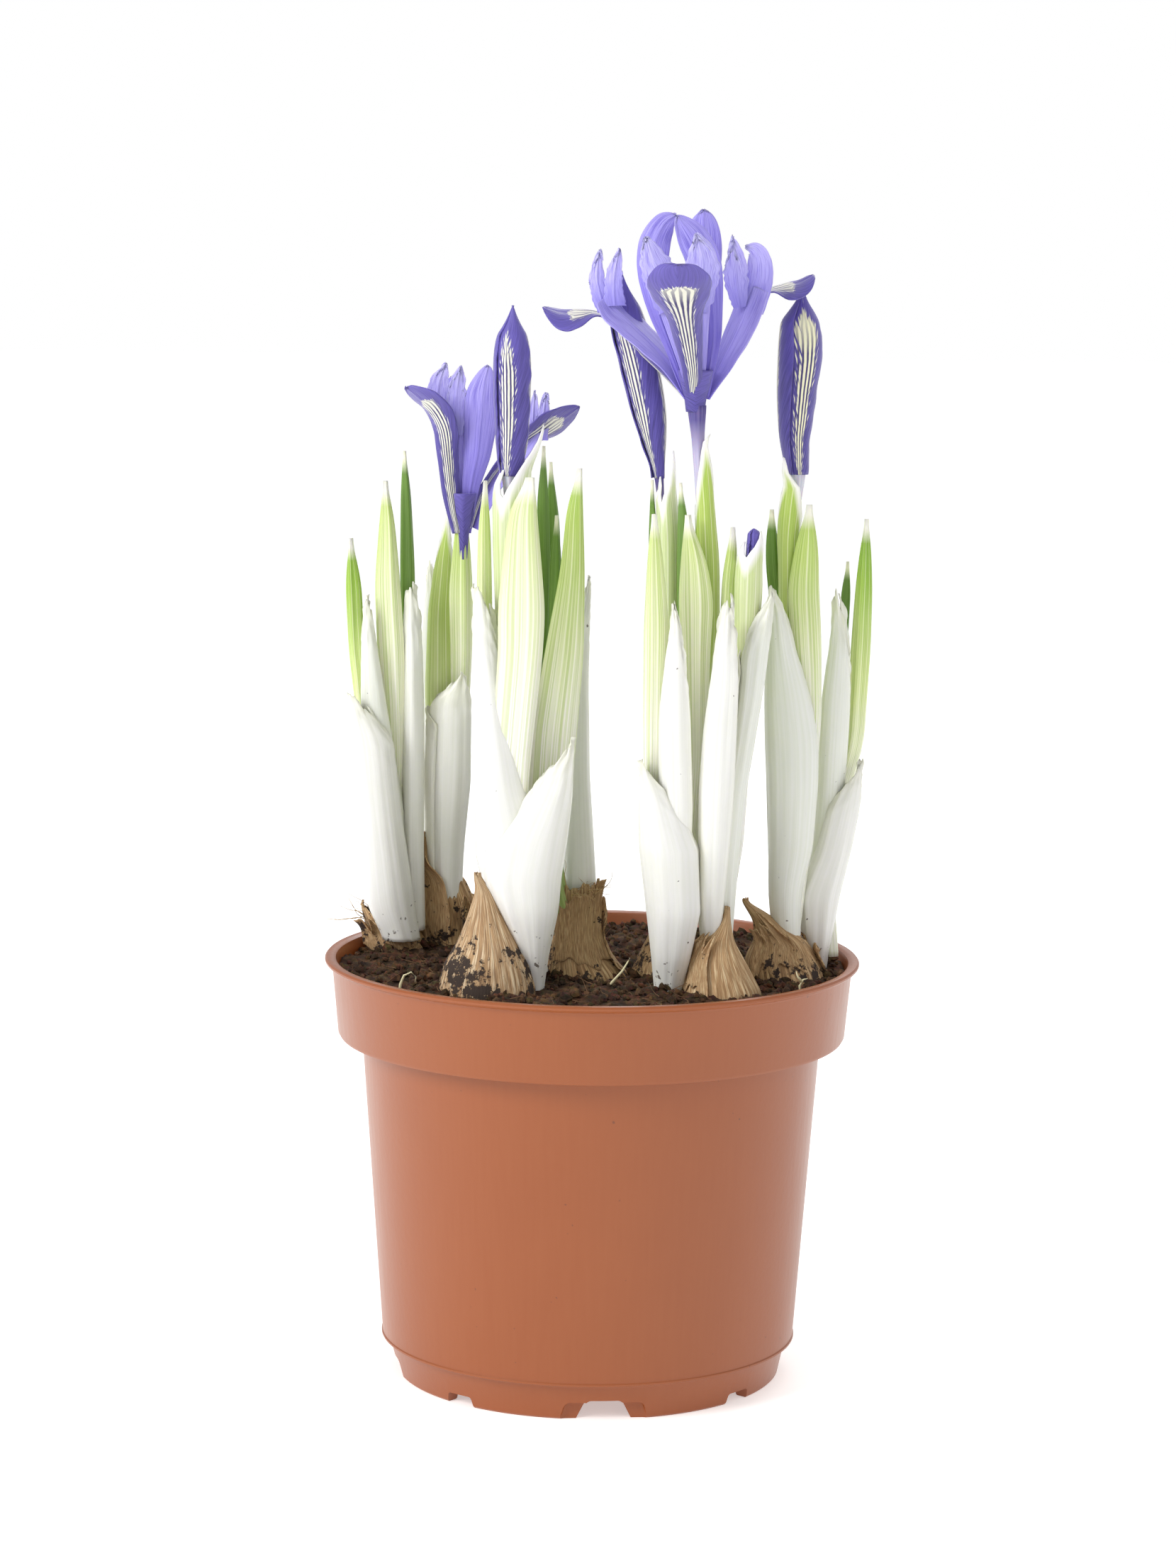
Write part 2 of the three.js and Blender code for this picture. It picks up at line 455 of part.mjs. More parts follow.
// Inner sheaths come before the outer ones that wrap them.
const SHEATHS = {
  sheath_1_left: [[98, -45, 18, 6, 8], [125, -47.5, 15, 9, 7], [144, -49.5, 13, 7, 6],
    [162, -51, 13, 3.7, 4], [174, -51.8, 13, 1, 1]],
  sheath_1_right: [[97, -40.5, 19, 4, 7], [118, -41.4, 18, 5, 8], [146, -41.2, 17, 4.5, 7],
    [168, -41.6, 17, 3.6, 6], [176.5, -41.8, 17, 2.5, 4]],
  sheath_1_outer: [[95, -43.6, 16, 8, 8], [104, -46.3, 15, 10.6, 9], [123, -48.5, 13, 9.8, 9],
    [142, -50.6, 11, 9.5, 7], [152, -54, 10, 4, 3]],
  sheath_2_back: [[112, -34, 30, 7, 5], [140, -35.9, 30, 7, 5], [160, -37.2, 29, 6, 4],
    [176, -37.5, 28, 3, 2.5], [180.6, -38.2, 28, 0.8, 0.8]],
  sheath_2_outer: [[98, -34, 24, 7, 8], [115, -34.2, 24, 9, 9], [131, -33.6, 22, 11, 8],
    [150, -33.1, 19.5, 10, 5], [156, -30.5, 18.5, 1.5, 1.5]],
  sheath_3_back: [[98, -3.6, -1, 6, 7], [108, -3.5, 0, 8.6, 8], [125, -4.1, 1, 7.1, 7],
    [136, -4.4, 2, 6, 6], [156, -4.1, 3, 4.5, 4.5], [173, -2.7, 4, 2, 2], [179.9, -1.8, 4, 0.6, 0.6]],
  sheath_3_left: [[100, -17, -17, 5, 7], [116, -21.3, -18, 9, 9], [138, -23.1, -18, 6.7, 8],
    [153, -23.6, -18, 6.2, 7], [168, -24.6, -17, 5.1, 5], [174, -25.2, -16, 3.5, 4],
    [180.5, -25.8, -16, 4, 3]],
  sheath_3_right: [[91, -12.3, -25, 2.5, 5], [100, -13.2, -26, 6.5, 8], [110, -14.5, -27, 13.2, 10],
    [117, -15.5, -27, 16.5, 10], [125, -14, -26, 16, 9], [135, -9.6, -25, 9.6, 6],
    [146.7, -5.5, -24, 1.5, 1.5]],
  sheath_4_inner: [[108, 18, -27, 6, 5], [133, 17.9, -29, 7.5, 6], [154, 17.3, -29, 6.7, 5],
    [164, 17.2, -29, 4.6, 4], [173, 17.3, -29, 2.4, 2.4], [177.9, 16.5, -29, 0.7, 0.7]],
  sheath_4_outer: [[90, 17, -25, 4, 5], [100, 18, -27, 7.1, 8], [110, 18.3, -28, 9.1, 10],
    [124, 16.5, -29.5, 11.4, 10], [131, 14.2, -30, 8.5, 8], [137, 12.6, -30, 5.8, 6],
    [143.2, 10, -30, 1, 1]],
  sheath_5_front: [[102, 26, -23, 4, 5], [111, 25.8, -25, 5.8, 7], [124, 26.2, -27, 6.9, 8],
    [136, 26.5, -28, 7.7, 8], [150, 27.1, -28, 7.3, 7], [161, 27.9, -28, 6, 6],
    [174, 28.1, -27, 3.5, 4], [178.5, 28.8, -27, 2.2, 2]],
  sheath_5_right: [[102, 28.5, -20, 4.5, 5], [119, 29, -21, 5.5, 7], [135, 30.4, -22, 5.5, 7],
    [146, 32, -22, 5.6, 6], [158, 33.6, -22, 5.8, 6], [167, 34.4, -22, 6.2, 5], [173, 35.6, -22, 5, 4],
    [179.3, 38, -22, 0.8, 0.8]],
  sheath_6: [[98, 43.5, -3, 5.6, 7], [110, 42.7, -3, 7, 9], [120, 43.8, -4, 9.6, 9],
    [135, 44, -5, 11.2, 9], [145, 43.6, -5, 11.7, 8], [155, 42.4, -5, 10, 7], [165, 40.8, -5, 6.3, 5],
    [173, 40, -5, 3.8, 3.4], [178.6, 38.6, -5, 2, 2]],
  sheath_7_inner: [[104, 50, 4, 5, 5], [129, 52.9, 3, 6.2, 6], [145, 53.5, 2, 6.6, 6],
    [155, 53.9, 2, 6.3, 5], [165, 54.4, 2, 4.7, 4], [175, 54.2, 2, 2.8, 2.6], [177.7, 53.6, 2, 1, 1]],
  sheath_7_outer: [[90, 51, 3, 3, 5], [99, 50.4, 2, 6.5, 7], [109, 50.3, 1, 9.7, 8],
    [119, 53.5, 0, 7.5, 6.5], [130, 55.8, 0, 6.8, 5], [139.8, 59.2, 1, 1, 1]],
};

function addAll(table, slot) {
  for (const [name, rows] of Object.entries(table)) {
    placeUpright(name, slot, rows);
  }
}

// ---- Flowers ----

// Closed flowers, with the tube that each stands on.
const CLOSED_FLOWERS = {
  flower_2: [[130, 15.6, -11.5, 1.6, 1.6], [185, 14.3, -9, 2, 2], [202.5, 13.6, -8, 2, 2],
    [207, 12.8, -7.5, 3.2, 3.2], [213, 11.8, -7, 6.4, 6], [221, 10.2, -6, 8, 7.5],
    [229, 8.3, -5, 8.2, 8], [236, 6.4, -5, 8, 7.5], [243, 4.9, -5, 5.4, 5],
    [247.8, 4.4, -5, 1, 1]],
  flower_3: [[130, 43, 4, 1.6, 1.6], [186, 43, 3.6, 2.2, 2.2], [200, 44.2, 2.6, 3, 3],
    [205, 44.2, 2, 5, 5], [209, 43.2, 2, 6, 6], [214, 43.4, 2, 7.1, 7],
    [221, 43.5, 2, 8.2, 8], [230, 44.3, 2, 9.6, 9],
    [236, 44.2, 2, 9.2, 8.5], [241, 43.7, 2, 6.4, 6], [244, 45.1, 2, 1.4, 1.4]],
  flower_4: [[130, -18.7, -13.4, 1.6, 1.6], [190, -19, -14, 2, 2], [202, -19.4, -14, 3, 3],
    [208, -18.8, -14, 6.5, 6], [224, -18.9, -14, 8, 8], [231, -19, -14, 8, 7.5], [236, -19, -14, 5.5, 5],
    [240.3, -18.9, -14, 1, 1]],
  flower_6: [[130, 31.4, -19, 1.2, 1.2], [176, 33.2, -20, 1.5, 1.5], [189, 33.6, -20, 2.6, 2.6],
    [193, 34, -20, 0.6, 0.6]],
};

// Each open flower's tepals: rows of [x, y, z, width] and the compass direction that they face.
const FLOWER_1_TUBE = [[130, 21.6, -15.2, 1.6, 1.6], [172, 24.4, -15, 1.8, 1.8],
  [205, 22, -15, 2.4, 2.4], [214, 21.5, -15, 3, 3], [219, 21.2, -15, 4.6, 4.6]];
const FLOWER_1_THROAT = [[219.4, 21.1, -15, 4, 4], [224, 20.9, -15, 6, 6]];
const FLOWER_1_CROWN = {
  standard_left: { facing: 210, rows: [[20, -16, 222, 3], [13, -20, 240, 6], [11, -19, 252, 8],
    [14.5, -16, 260, 3]] },
  standard_right: { facing: -30, rows: [[22, -16, 222, 3], [25.5, -19, 240, 6], [24.5, -18, 254, 7],
    [18.5, -17, 260.5, 3]] },
  standard_back: { facing: 90, rows: [[21, -14, 222, 3], [22, -8, 240, 7], [23, -6, 252, 8],
    [21, -7, 261.5, 4]] },
  style_left: { facing: 150, rows: [[20, -14.5, 223, 4], [11, -8, 233, 6], [2, -3, 242, 7],
    [1.5, -2, 252, 6]] },
  style_right: { facing: 30, rows: [[22, -14.5, 223, 4], [27, -10, 234, 7], [33, -5, 246, 9],
    [30, -5, 254.5, 8]] },
  style_front: { facing: -100, rows: [[20.6, -17, 223, 4], [19, -21, 233, 6], [17, -25, 243, 9],
    [16.5, -26, 254, 14]] },
};
const FLOWER_1_FALLS = {
  flower_1_fall_left: { facing: 150, rows: [[19, -13, 221, 3], [10, -7, 229, 6], [0.5, -1, 237.5, 9],
    [-6, 2, 239, 11], [-12.3, 5, 239.8, 3]] },
  flower_1_fall_right: { facing: 32, rows: [[23, -13, 221, 3], [28.5, -9, 231, 6], [35, -4, 241.5, 9],
    [40, 0, 245.5, 11], [45.3, 3, 247, 3]] },
  flower_1_fall_front: { facing: -100, rows: [[20.5, -19, 221.5, 3], [19.6, -25, 229, 6],
    [17.6, -33, 240, 9], [16.4, -40, 246, 14], [15.5, -48, 250.2, 6]] },
};

const FLOWER_5_TUBE = [[130, -34, 26.5, 1.6, 1.6], [176, -32.6, 26.5, 1.8, 1.8],
  [190, -31, 26.5, 2.6, 2.6], [195, -31, 26.5, 4, 4]];
const FLOWER_5_CROWN = {
  standard_right: { facing: -40, rows: [[-30.4, 26.2, 194.5, 3], [-28.5, 25, 208, 6],
    [-27, 24, 219, 8.5], [-25, 24, 226.5, 3]] },
  standard_left: { facing: 180, rows: [[-31.5, 26.8, 194.5, 3], [-34, 29, 208, 5], [-34.5, 30, 219, 6],
    [-33, 30, 224.5, 2]] },
  style_left: { facing: -150, rows: [[-31.4, 26, 194.5, 3], [-34.2, 24, 208, 5], [-36, 22, 217, 7],
    [-36, 22.5, 225.5, 6]] },
  style_right: { facing: 5, rows: [[-30.2, 27, 194.5, 3], [-24, 28, 205, 5], [-16, 28, 213, 6],
    [-13.5, 28, 220, 4]] },
};
const FLOWER_5_FALLS = {
  fall_left: { facing: -150, rows: [[-31.8, 25.4, 193, 3], [-34.8, 22.5, 205, 5],
    [-36.6, 19, 214, 8], [-39.5, 16, 219.5, 10], [-43, 13, 221.4, 3]] },
  fall_right: { facing: 5, rows: [[-30, 26.8, 193, 3], [-22, 28, 202, 5], [-14.5, 28.5, 209.5, 8],
    [-9, 29, 213, 9], [-4.6, 29, 216.3, 3]] },
};

function ribbons(tepals, grow) {
  return Object.values(tepals).map(({ rows, facing }) => ribbon(rows, facing, grow));
}

function addFlowers() {
  place('flower_1_tube', 'pale_petal', (grow) => upright(FLOWER_1_TUBE, LEAF_SIDES, grow));
  place('flower_1_crown', 'pale_petal', (grow) => joined([
    upright(FLOWER_1_THROAT, LEAF_SIDES, grow), ...ribbons(FLOWER_1_CROWN, grow)]));
  for (const [name, { rows, facing }] of Object.entries(FLOWER_1_FALLS)) {
    place(name, 'petal', (grow) => ribbon(rows, facing, grow));
  }
  place('flower_5_crown', 'pale_petal', (grow) => joined(ribbons(FLOWER_5_CROWN, grow)));
  place('flower_5_falls', 'petal', (grow) => joined([
    upright(FLOWER_5_TUBE, LEAF_SIDES, grow), ...ribbons(FLOWER_5_FALLS, grow)]));
  addAll(CLOSED_FLOWERS, 'petal');
}

addFlowers();
addAll(BRACTS, 'bract');
addAll(GREEN_LEAVES, 'green_leaf');
addAll(LEAVES, 'leaf');
addAll(SHEATHS, 'sheath');
addBulbs();
addSoil();
addPot();

export default object;
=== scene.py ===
import bpy
import math
import random
import numpy as np
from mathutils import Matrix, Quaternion, Vector, noise


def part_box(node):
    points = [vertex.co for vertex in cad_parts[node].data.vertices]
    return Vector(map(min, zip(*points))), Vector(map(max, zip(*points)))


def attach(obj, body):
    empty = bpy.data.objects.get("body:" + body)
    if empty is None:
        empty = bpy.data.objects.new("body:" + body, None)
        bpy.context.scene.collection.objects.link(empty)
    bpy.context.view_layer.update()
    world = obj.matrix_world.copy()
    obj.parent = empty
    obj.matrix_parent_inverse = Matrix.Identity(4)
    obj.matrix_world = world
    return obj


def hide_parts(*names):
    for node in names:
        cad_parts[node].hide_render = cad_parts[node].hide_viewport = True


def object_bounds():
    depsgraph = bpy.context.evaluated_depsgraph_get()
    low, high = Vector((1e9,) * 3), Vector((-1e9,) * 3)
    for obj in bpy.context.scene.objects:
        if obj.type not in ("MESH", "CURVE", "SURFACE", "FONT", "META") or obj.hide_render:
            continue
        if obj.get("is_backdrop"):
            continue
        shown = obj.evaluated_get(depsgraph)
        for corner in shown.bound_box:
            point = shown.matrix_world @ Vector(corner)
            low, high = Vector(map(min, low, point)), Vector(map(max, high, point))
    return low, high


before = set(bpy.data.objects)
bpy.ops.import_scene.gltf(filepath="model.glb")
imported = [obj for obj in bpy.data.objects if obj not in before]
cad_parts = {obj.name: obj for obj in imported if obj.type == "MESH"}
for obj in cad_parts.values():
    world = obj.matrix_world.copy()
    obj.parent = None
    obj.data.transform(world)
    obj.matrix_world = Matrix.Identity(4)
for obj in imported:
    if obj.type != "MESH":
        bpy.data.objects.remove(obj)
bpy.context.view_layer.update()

# ---------------------------------------------------------------------------------------------
# Pot. A 12 cm nursery pot, injection-moulded in terracotta-coloured polypropylene: a lip bead, a
# straight band, a tapering body and a foot ring with drain notches. It is turned from a circle,
# level by level, and its notches and drain holes are cut afterwards.
# ---------------------------------------------------------------------------------------------
MM = 0.001
POT_TURN_STEPS = 192
NOTCH_TURN = 5
DRAIN_HOLES = 6
DRAIN_RADIUS = 3.2
DRAIN_CIRCLE = 31


def linear(hex_colour):
    channels = [int(hex_colour[i:i + 2], 16) / 255 for i in (1, 3, 5)]
    return [c / 12.92 if c <= 0.04045 else ((c + 0.055) / 1.055) ** 2.4 for c in channels] + [1]


def add(tree, kind, values=(), **settings):
    """Adds a shader node. A value that is another node's output is linked, any other is set."""
    made = tree.nodes.new("ShaderNode" + kind)
    for name, value in settings.items():
        setattr(made, name, value)
    for socket, value in dict(values).items():
        if isinstance(value, bpy.types.NodeSocket):
            tree.links.new(value, made.inputs[socket])
        else:
            made.inputs[socket].default_value = value
    return made


def new_material(name):
    made = bpy.data.materials.new(name)
    made.use_nodes = True
    made.node_tree.nodes.clear()
    return made, made.node_tree


def ramp(tree, factor, stops, interpolation="LINEAR"):
    """A colour ramp with stops of (place, hex colour or grey value)."""
    made = add(tree, "ValToRGB", {0: factor})
    made.color_ramp.interpolation = interpolation
    while len(made.color_ramp.elements) < len(stops):
        made.color_ramp.elements.new(0.5)
    for element, (place, colour) in zip(made.color_ramp.elements, stops):
        element.position = place
        element.color = linear(colour) if isinstance(colour, str) else [colour] * 3 + [1]
    return made.outputs[0]


def mixed(tree, factor, first, second, blend="MIX"):
    made = add(tree, "Mix", {0: factor, 6: first, 7: second}, data_type="RGBA", blend_type=blend)
    return made.outputs[2]


def maths(tree, operation, *values):
    return add(tree, "Math", dict(enumerate(values)), operation=operation).outputs[0]


def surfaced(material, colour, rough, relief=None, shader=()):
    """Ends a material. relief: strength, depth in mm and height. shader: its other sockets."""
    tree = material.node_tree
    values = {"Base Color": colour, "Roughness": rough, **dict(shader)}
    if relief:
        strength, depth, height = relief
        values["Normal"] = add(tree, "Bump", {"Strength": strength, "Distance": depth * MM,
                                              "Height": height}).outputs[0]
    skin = add(tree, "BsdfPrincipled", values)
    add(tree, "OutputMaterial", {0: skin.outputs[0]})
    return material


def deselect():
    if bpy.context.object and bpy.context.object.mode != "OBJECT":
        bpy.ops.object.mode_set(mode="OBJECT")
    bpy.ops.object.select_all(action="DESELECT")


def only(piece):
    deselect()
    piece.select_set(True)
    bpy.context.view_layer.objects.active = piece
    return piece


def apply_all(piece):
    only(piece)
    bpy.ops.object.transform_apply(location=True, rotation=True, scale=True)
    for modifier in list(piece.modifiers):
        bpy.ops.object.modifier_apply(modifier=modifier.name)
    return piece


def finish_piece(piece, name, materials, replaces=()):
    """Names a piece, gives it its materials and slot, and hides the CAD nodes it replaces."""
    piece.name = name
    piece.data.name = name
    for material in materials:
        if material.name not in piece.data.materials:
            piece.data.materials.append(material)
    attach(piece, "root")
    if replaces:
        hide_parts(*replaces)
    return piece


def turned(outline, segments):
    """A shape turned round the pot's axis from an outline of (radius, height) in millimetres."""
    deselect()
    bpy.ops.mesh.primitive_circle_add(vertices=segments, radius=outline[0][0] * MM,
                                      location=(0, 0, outline[0][1] * MM))
    piece = bpy.context.object
    bpy.ops.object.transform_apply(location=True)
    bpy.ops.object.mode_set(mode="EDIT")
    bpy.ops.mesh.select_all(action="SELECT")
    for (radius, height), (next_radius, next_height) in zip(outline, outline[1:]):
        rise = (next_height - height) * MM
        bpy.ops.mesh.extrude_edges_move(TRANSFORM_OT_translate={"value": (0, 0, rise)})
        share = next_radius / radius
        bpy.ops.transform.resize(value=(share, share, 1), center_override=(0, 0, 0))
    bpy.ops.mesh.select_all(action="SELECT")
    bpy.ops.mesh.remove_doubles(threshold=1e-6)
    bpy.ops.mesh.normals_make_consistent(inside=False)
    bpy.ops.object.mode_set(mode="OBJECT")
    return piece


def notch(top_width, bottom_width, height, near, far, turn, round_by):
    """A block with sloping sides and rounded corners that cuts a way through the foot ring."""
    deselect()
    bpy.ops.mesh.primitive_cube_add(size=1, location=(0, 0, 0))
    block = bpy.context.object
    for vertex in block.data.vertices:
        top = vertex.co.z > 0
        width = top_width if top else bottom_width
        vertex.co = Vector((vertex.co.x * width, near if vertex.co.y < 0 else far,
                            height if top else -1)) * MM
    bevel = block.modifiers.new("Rounding", "BEVEL")
    bevel.width = round_by * MM
    bevel.segments = 4
    apply_all(block)
    block.rotation_euler.z = math.radians(turn)
    bpy.ops.object.transform_apply(rotation=True)
    return block


def cut(piece, cutters):
    for cutter in cutters:
        boolean = piece.modifiers.new("Cut", "BOOLEAN")
        boolean.object = cutter
        boolean.solver = "EXACT"
    apply_all(piece)
    for cutter in cutters:
        bpy.data.objects.remove(cutter)


def terracotta_polypropylene():
    """Moulded polypropylene: satin, with a faint orange peel, drawn scratches and dust specks."""
    material, tree = new_material("terracotta_polypropylene")
    place = add(tree, "TexCoord").outputs["Object"]
    cloud = add(tree, "TexNoise", {0: place, "Scale": 22, "Detail": 3}).outputs[0]
    drawn = add(tree, "Mapping", {0: place, "Scale": (900, 900, 14)}).outputs[0]
    flow = add(tree, "TexNoise", {0: drawn, "Scale": 1, "Detail": 2}).outputs[0]
    specks = add(tree, "TexNoise", {0: place, "Scale": 640, "Detail": 1}).outputs[0]
    speck_share = ramp(tree, specks, [(0.79, 0.0), (0.82, 1.0)])
    colour = mixed(tree, cloud, linear("#8C471E"), linear("#965026"))
    colour = mixed(tree, maths(tree, "MULTIPLY", flow, 0.16), colour, linear("#A9683F"))
    colour = mixed(tree, maths(tree, "MULTIPLY", speck_share, 0.6), colour, linear("#5A3324"))
    peel = add(tree, "TexNoise", {0: place, "Scale": 750, "Detail": 2}).outputs[0]
    rough = add(tree, "MapRange", {0: flow, 3: 0.26, 4: 0.38}).outputs[0]
    return surfaced(material, colour, rough, (0.06, 0.4, peel))


pot_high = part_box("pot")[1]
lip = pot_high.x / MM
top = pot_high.z / MM
band_bottom = top - 17.8
body_top = lip - 8.5
body_bottom = lip - 13.4
foot_top = 8.4
foot = lip - 16.6
wall = 1.2
floor_top = 6.2
floor_underside = 4.8
pot_outline = [
    (0.01, floor_underside), (foot - 3.4, floor_underside), (foot - 3, floor_underside - 0.4),
    (foot - 3, 0.3), (foot - 2.7, 0), (foot - 0.4, 0), (foot, 0.4),
    (body_bottom - 1.7, foot_top - 1.0), (body_bottom - 1.3, foot_top - 0.5),
    (body_bottom - 0.25, foot_top - 0.2), (body_bottom + 0.25, foot_top),
    (body_bottom + 0.25, foot_top + 0.35), (body_bottom + 0.03, foot_top + 0.6),
    (body_top, band_bottom - 1.1), (body_top + 0.25, band_bottom - 0.4),
    (body_top + 0.9, band_bottom), (lip - 4.1, band_bottom), (lip - 3.4, band_bottom + 0.2),
    (lip - 3.0, band_bottom + 0.9), (lip - 1.65, top - 2.1), (lip - 1.3, top - 1.6),
    (lip - 0.4, top - 1.25), (lip, top - 0.85), (lip, top - 0.45), (lip - 0.35, top - 0.05),
    (lip - 0.9, top), (lip - 1.8, top - 0.05), (lip - 2.4, top - 0.4), (lip - 2.75, top - 1.1),
    (lip - 3 - wall, band_bottom + wall + 0.4), (lip - 3.4 - wall, band_bottom + wall),
    (body_top - wall, band_bottom - 0.2), (body_bottom - wall, foot_top + 0.6),
    (body_bottom - 3.2, floor_top), (0.01, floor_top),
]
pot = turned(pot_outline, POT_TURN_STEPS)
inner = foot - 4
cutters = []
for quarter in range(4):
    deep = NOTCH_TURN + 180 + quarter * 90
    cutters.append(notch(7.4, 13, 4.5, inner, lip, deep, 0.9))
    cutters.append(notch(17, 20.4, 4.0, foot - 1.7, lip, deep, 1.2))
    cutters.append(notch(6.5, 8, 2.4, inner, lip, deep + 45, 0.6))
cut(pot, cutters)
drains = []
for hole in range(DRAIN_HOLES + 1):
    turn = hole * 2 * math.pi / DRAIN_HOLES
    out = DRAIN_CIRCLE * MM if hole < DRAIN_HOLES else 0
    deselect()
    bpy.ops.mesh.primitive_cylinder_add(
        vertices=32, radius=DRAIN_RADIUS * MM, depth=6 * MM,
        location=(out * math.cos(turn), out * math.sin(turn), 5.5 * MM))
    drains.append(only(bpy.context.object))
    bpy.ops.object.transform_apply(location=True)
cut(pot, drains)
only(pot)
bpy.ops.object.shade_smooth_by_angle(angle=math.radians(32))
pot_plastic = terracotta_polypropylene()
finish_piece(pot, "nursery_pot", [pot_plastic], ["pot"])

# ---------------------------------------------------------------------------------------------
# Potting soil. Dark peat and bark, fibrous and crumbly, heaped at the back left. Its surface is
# a disc grown inwards ring by ring and raised by layered noise; crumbs and fibres lie on it.
# ---------------------------------------------------------------------------------------------
SOIL_LEVEL = 92.2
SOIL_RINGS = 72
SOIL_TURN_STEPS = 288
CRUMBS = 2600
FIBRES = 150
soil_edge = lip - 3.15
chance = random.Random(7)


def soil_height(x, y):
    """The height of the soil in millimetres at a place in millimetres."""
    heap = 3.6 * math.exp(-((x + 34) ** 2 + (y - 38) ** 2) / 220)
    lumps = 1.3 * noise.noise(Vector((x, y, 3)) * 0.11)
    clods = 0.9 * noise.noise(Vector((x, y, 9)) * 0.34)
    crumbs = 0.55 * noise.noise(Vector((x, y, 20)) * 0.95)
    grit = 0.3 * noise.noise(Vector((x, y, 31)) * 2.3)
    return SOIL_LEVEL + heap + lumps + clods + crumbs + grit


def peat():
    """Peat and bark: nearly black when moist, with brown crumbs and a little pale fibre."""
    material, tree = new_material("peat_and_bark")
    place = add(tree, "TexCoord").outputs["Object"]
    clods = add(tree, "TexNoise", {0: place, "Scale": 260, "Detail": 8,
                                   "Roughness": 0.7}).outputs[0]
    grains = add(tree, "TexVoronoi", {0: place, "Scale": 900}).outputs[1]
    colour = ramp(tree, clods, [(0.3, "#1C130E"), (0.48, "#3B281B"), (0.62, "#5E432D"),
                                (0.8, "#8C6B49")])
    colour = mixed(tree, 0.25, colour, grains, "SOFT_LIGHT")
    return surfaced(material, colour, 0.95, (0.7, 0.6, clods), {"Specular IOR Level": 0.25})


def strewn(name, template, placings):
    """Copies of a small template mesh, each with its own (place, size, turn), in one mesh."""
    corners = np.array([v.co for v in template.data.vertices])
    faces = [list(p.vertices) for p in template.data.polygons]
    points = []
    loops = []
    for place, size, turn in placings:
        base = len(points) * len(corners)
        matrix = np.array(turn.to_matrix())
        points.append((corners * np.array(size)) @ matrix.T + np.array(place))
        loops.extend([[base + i for i in face] for face in faces])
    mesh = bpy.data.meshes.new(name)
    mesh.from_pydata(np.concatenate(points).tolist(), [], loops)
    mesh.update()
    piece = bpy.data.objects.new(name, mesh)
    bpy.context.scene.collection.objects.link(piece)
    return piece


rings = [(soil_edge * (1 - i / SOIL_RINGS), SOIL_LEVEL) for i in range(SOIL_RINGS)]
soil = turned([(soil_edge - 1.2, 79.5)] + rings + [(0.05, SOIL_LEVEL)], SOIL_TURN_STEPS)
for vertex in soil.data.vertices:
    if vertex.co.z > (SOIL_LEVEL - 1) * MM:
        vertex.co.z = soil_height(vertex.co.x / MM, vertex.co.y / MM) * MM
only(soil)
bpy.ops.object.mode_set(mode="EDIT")
bpy.ops.mesh.select_all(action="SELECT")
bpy.ops.mesh.remove_doubles(threshold=2e-5)
bpy.ops.mesh.fill_holes(sides=0)
bpy.ops.mesh.normals_make_consistent(inside=False)
bpy.ops.object.mode_set(mode="OBJECT")
bpy.ops.object.shade_smooth()
peat_material = peat()
finish_piece(soil, "potting_soil_surface", [peat_material], ["potting_soil"])

deselect()
bpy.ops.mesh.primitive_ico_sphere_add(subdivisions=1, radius=1)
crumb = bpy.context.object
for vertex in crumb.data.vertices:
    vertex.co *= 1 + 0.45 * noise.noise(vertex.co * 1.7)
placings = []
for _ in range(CRUMBS):
    turn = chance.uniform(0, 2 * math.pi)
    out = soil_edge * math.sqrt(chance.uniform(0, 0.985))
    x, y = out * math.cos(turn), out * math.sin(turn)
    size = chance.choice([0.3, 0.4, 0.5, 0.7, 0.9, 1.3]) * chance.uniform(0.7, 1.2)
    place = Vector((x, y, soil_height(x, y) + size * 0.35)) * MM
    shape = Vector((size, size * chance.uniform(0.6, 1), size * chance.uniform(0.5, 0.9))) * MM
    spin = Vector((chance.random(), chance.random(), chance.random())).to_track_quat("Z", "Y")
    placings.append((place, shape, spin))
crumbs = strewn("soil_crumbs", crumb, placings)
bpy.data.objects.remove(crumb)
finish_piece(crumbs, "soil_crumbs", [peat_material])


def strand(points, radius, sides=5):
    """A thin strand along points in millimetres, thinning to its end, as (corners, faces)."""
    corners = []
    faces = []
    count = len(points)
    for i, point in enumerate(points):
        along = (points[min(i + 1, count - 1)] - points[max(i - 1, 0)]).normalized()
        aside = along.orthogonal().normalized()
        above = along.cross(aside)
        reach = radius * (1 - 0.75 * i / (count - 1))
        for side in range(sides):
            turn = side * 2 * math.pi / sides
            corners.append((point + (aside * math.cos(turn) + above * math.sin(turn)) * reach) * MM)
    for i in range(count - 1):
        for side in range(sides):
            a = i * sides + side
            b = i * sides + (side + 1) % sides
            faces.append([a, b, b + sides, a + sides])
    faces.append([sides - 1 - i for i in range(sides)])
    faces.append([(count - 1) * sides + i for i in range(sides)])
    return corners, faces


def strands(name, lines, radius):
    """Many strands in one mesh; radius is one number or one for each line."""
    corners = []
    faces = []
    for i, line in enumerate(lines):
        reach = radius[i] if isinstance(radius, list) else radius
        made, loops = strand(line, reach)
        faces.extend([[len(corners) + j for j in loop] for loop in loops])
        corners.extend(made)
    mesh = bpy.data.meshes.new(name)
    mesh.from_pydata(corners, [], faces)
    mesh.update()
    piece = bpy.data.objects.new(name, mesh)
    bpy.context.scene.collection.objects.link(piece)
    for polygon in mesh.polygons:
        polygon.use_smooth = True
    return piece


def wander(start, heading, length, steps, drift):
    """A strand's points from start, turning a little at each step."""
    points = [start.copy()]
    for _ in range(steps):
        heading = (heading + Vector([chance.uniform(-drift, drift) for _ in range(3)])).normalized()
        points.append(points[-1] + heading * (length / steps))
    return points


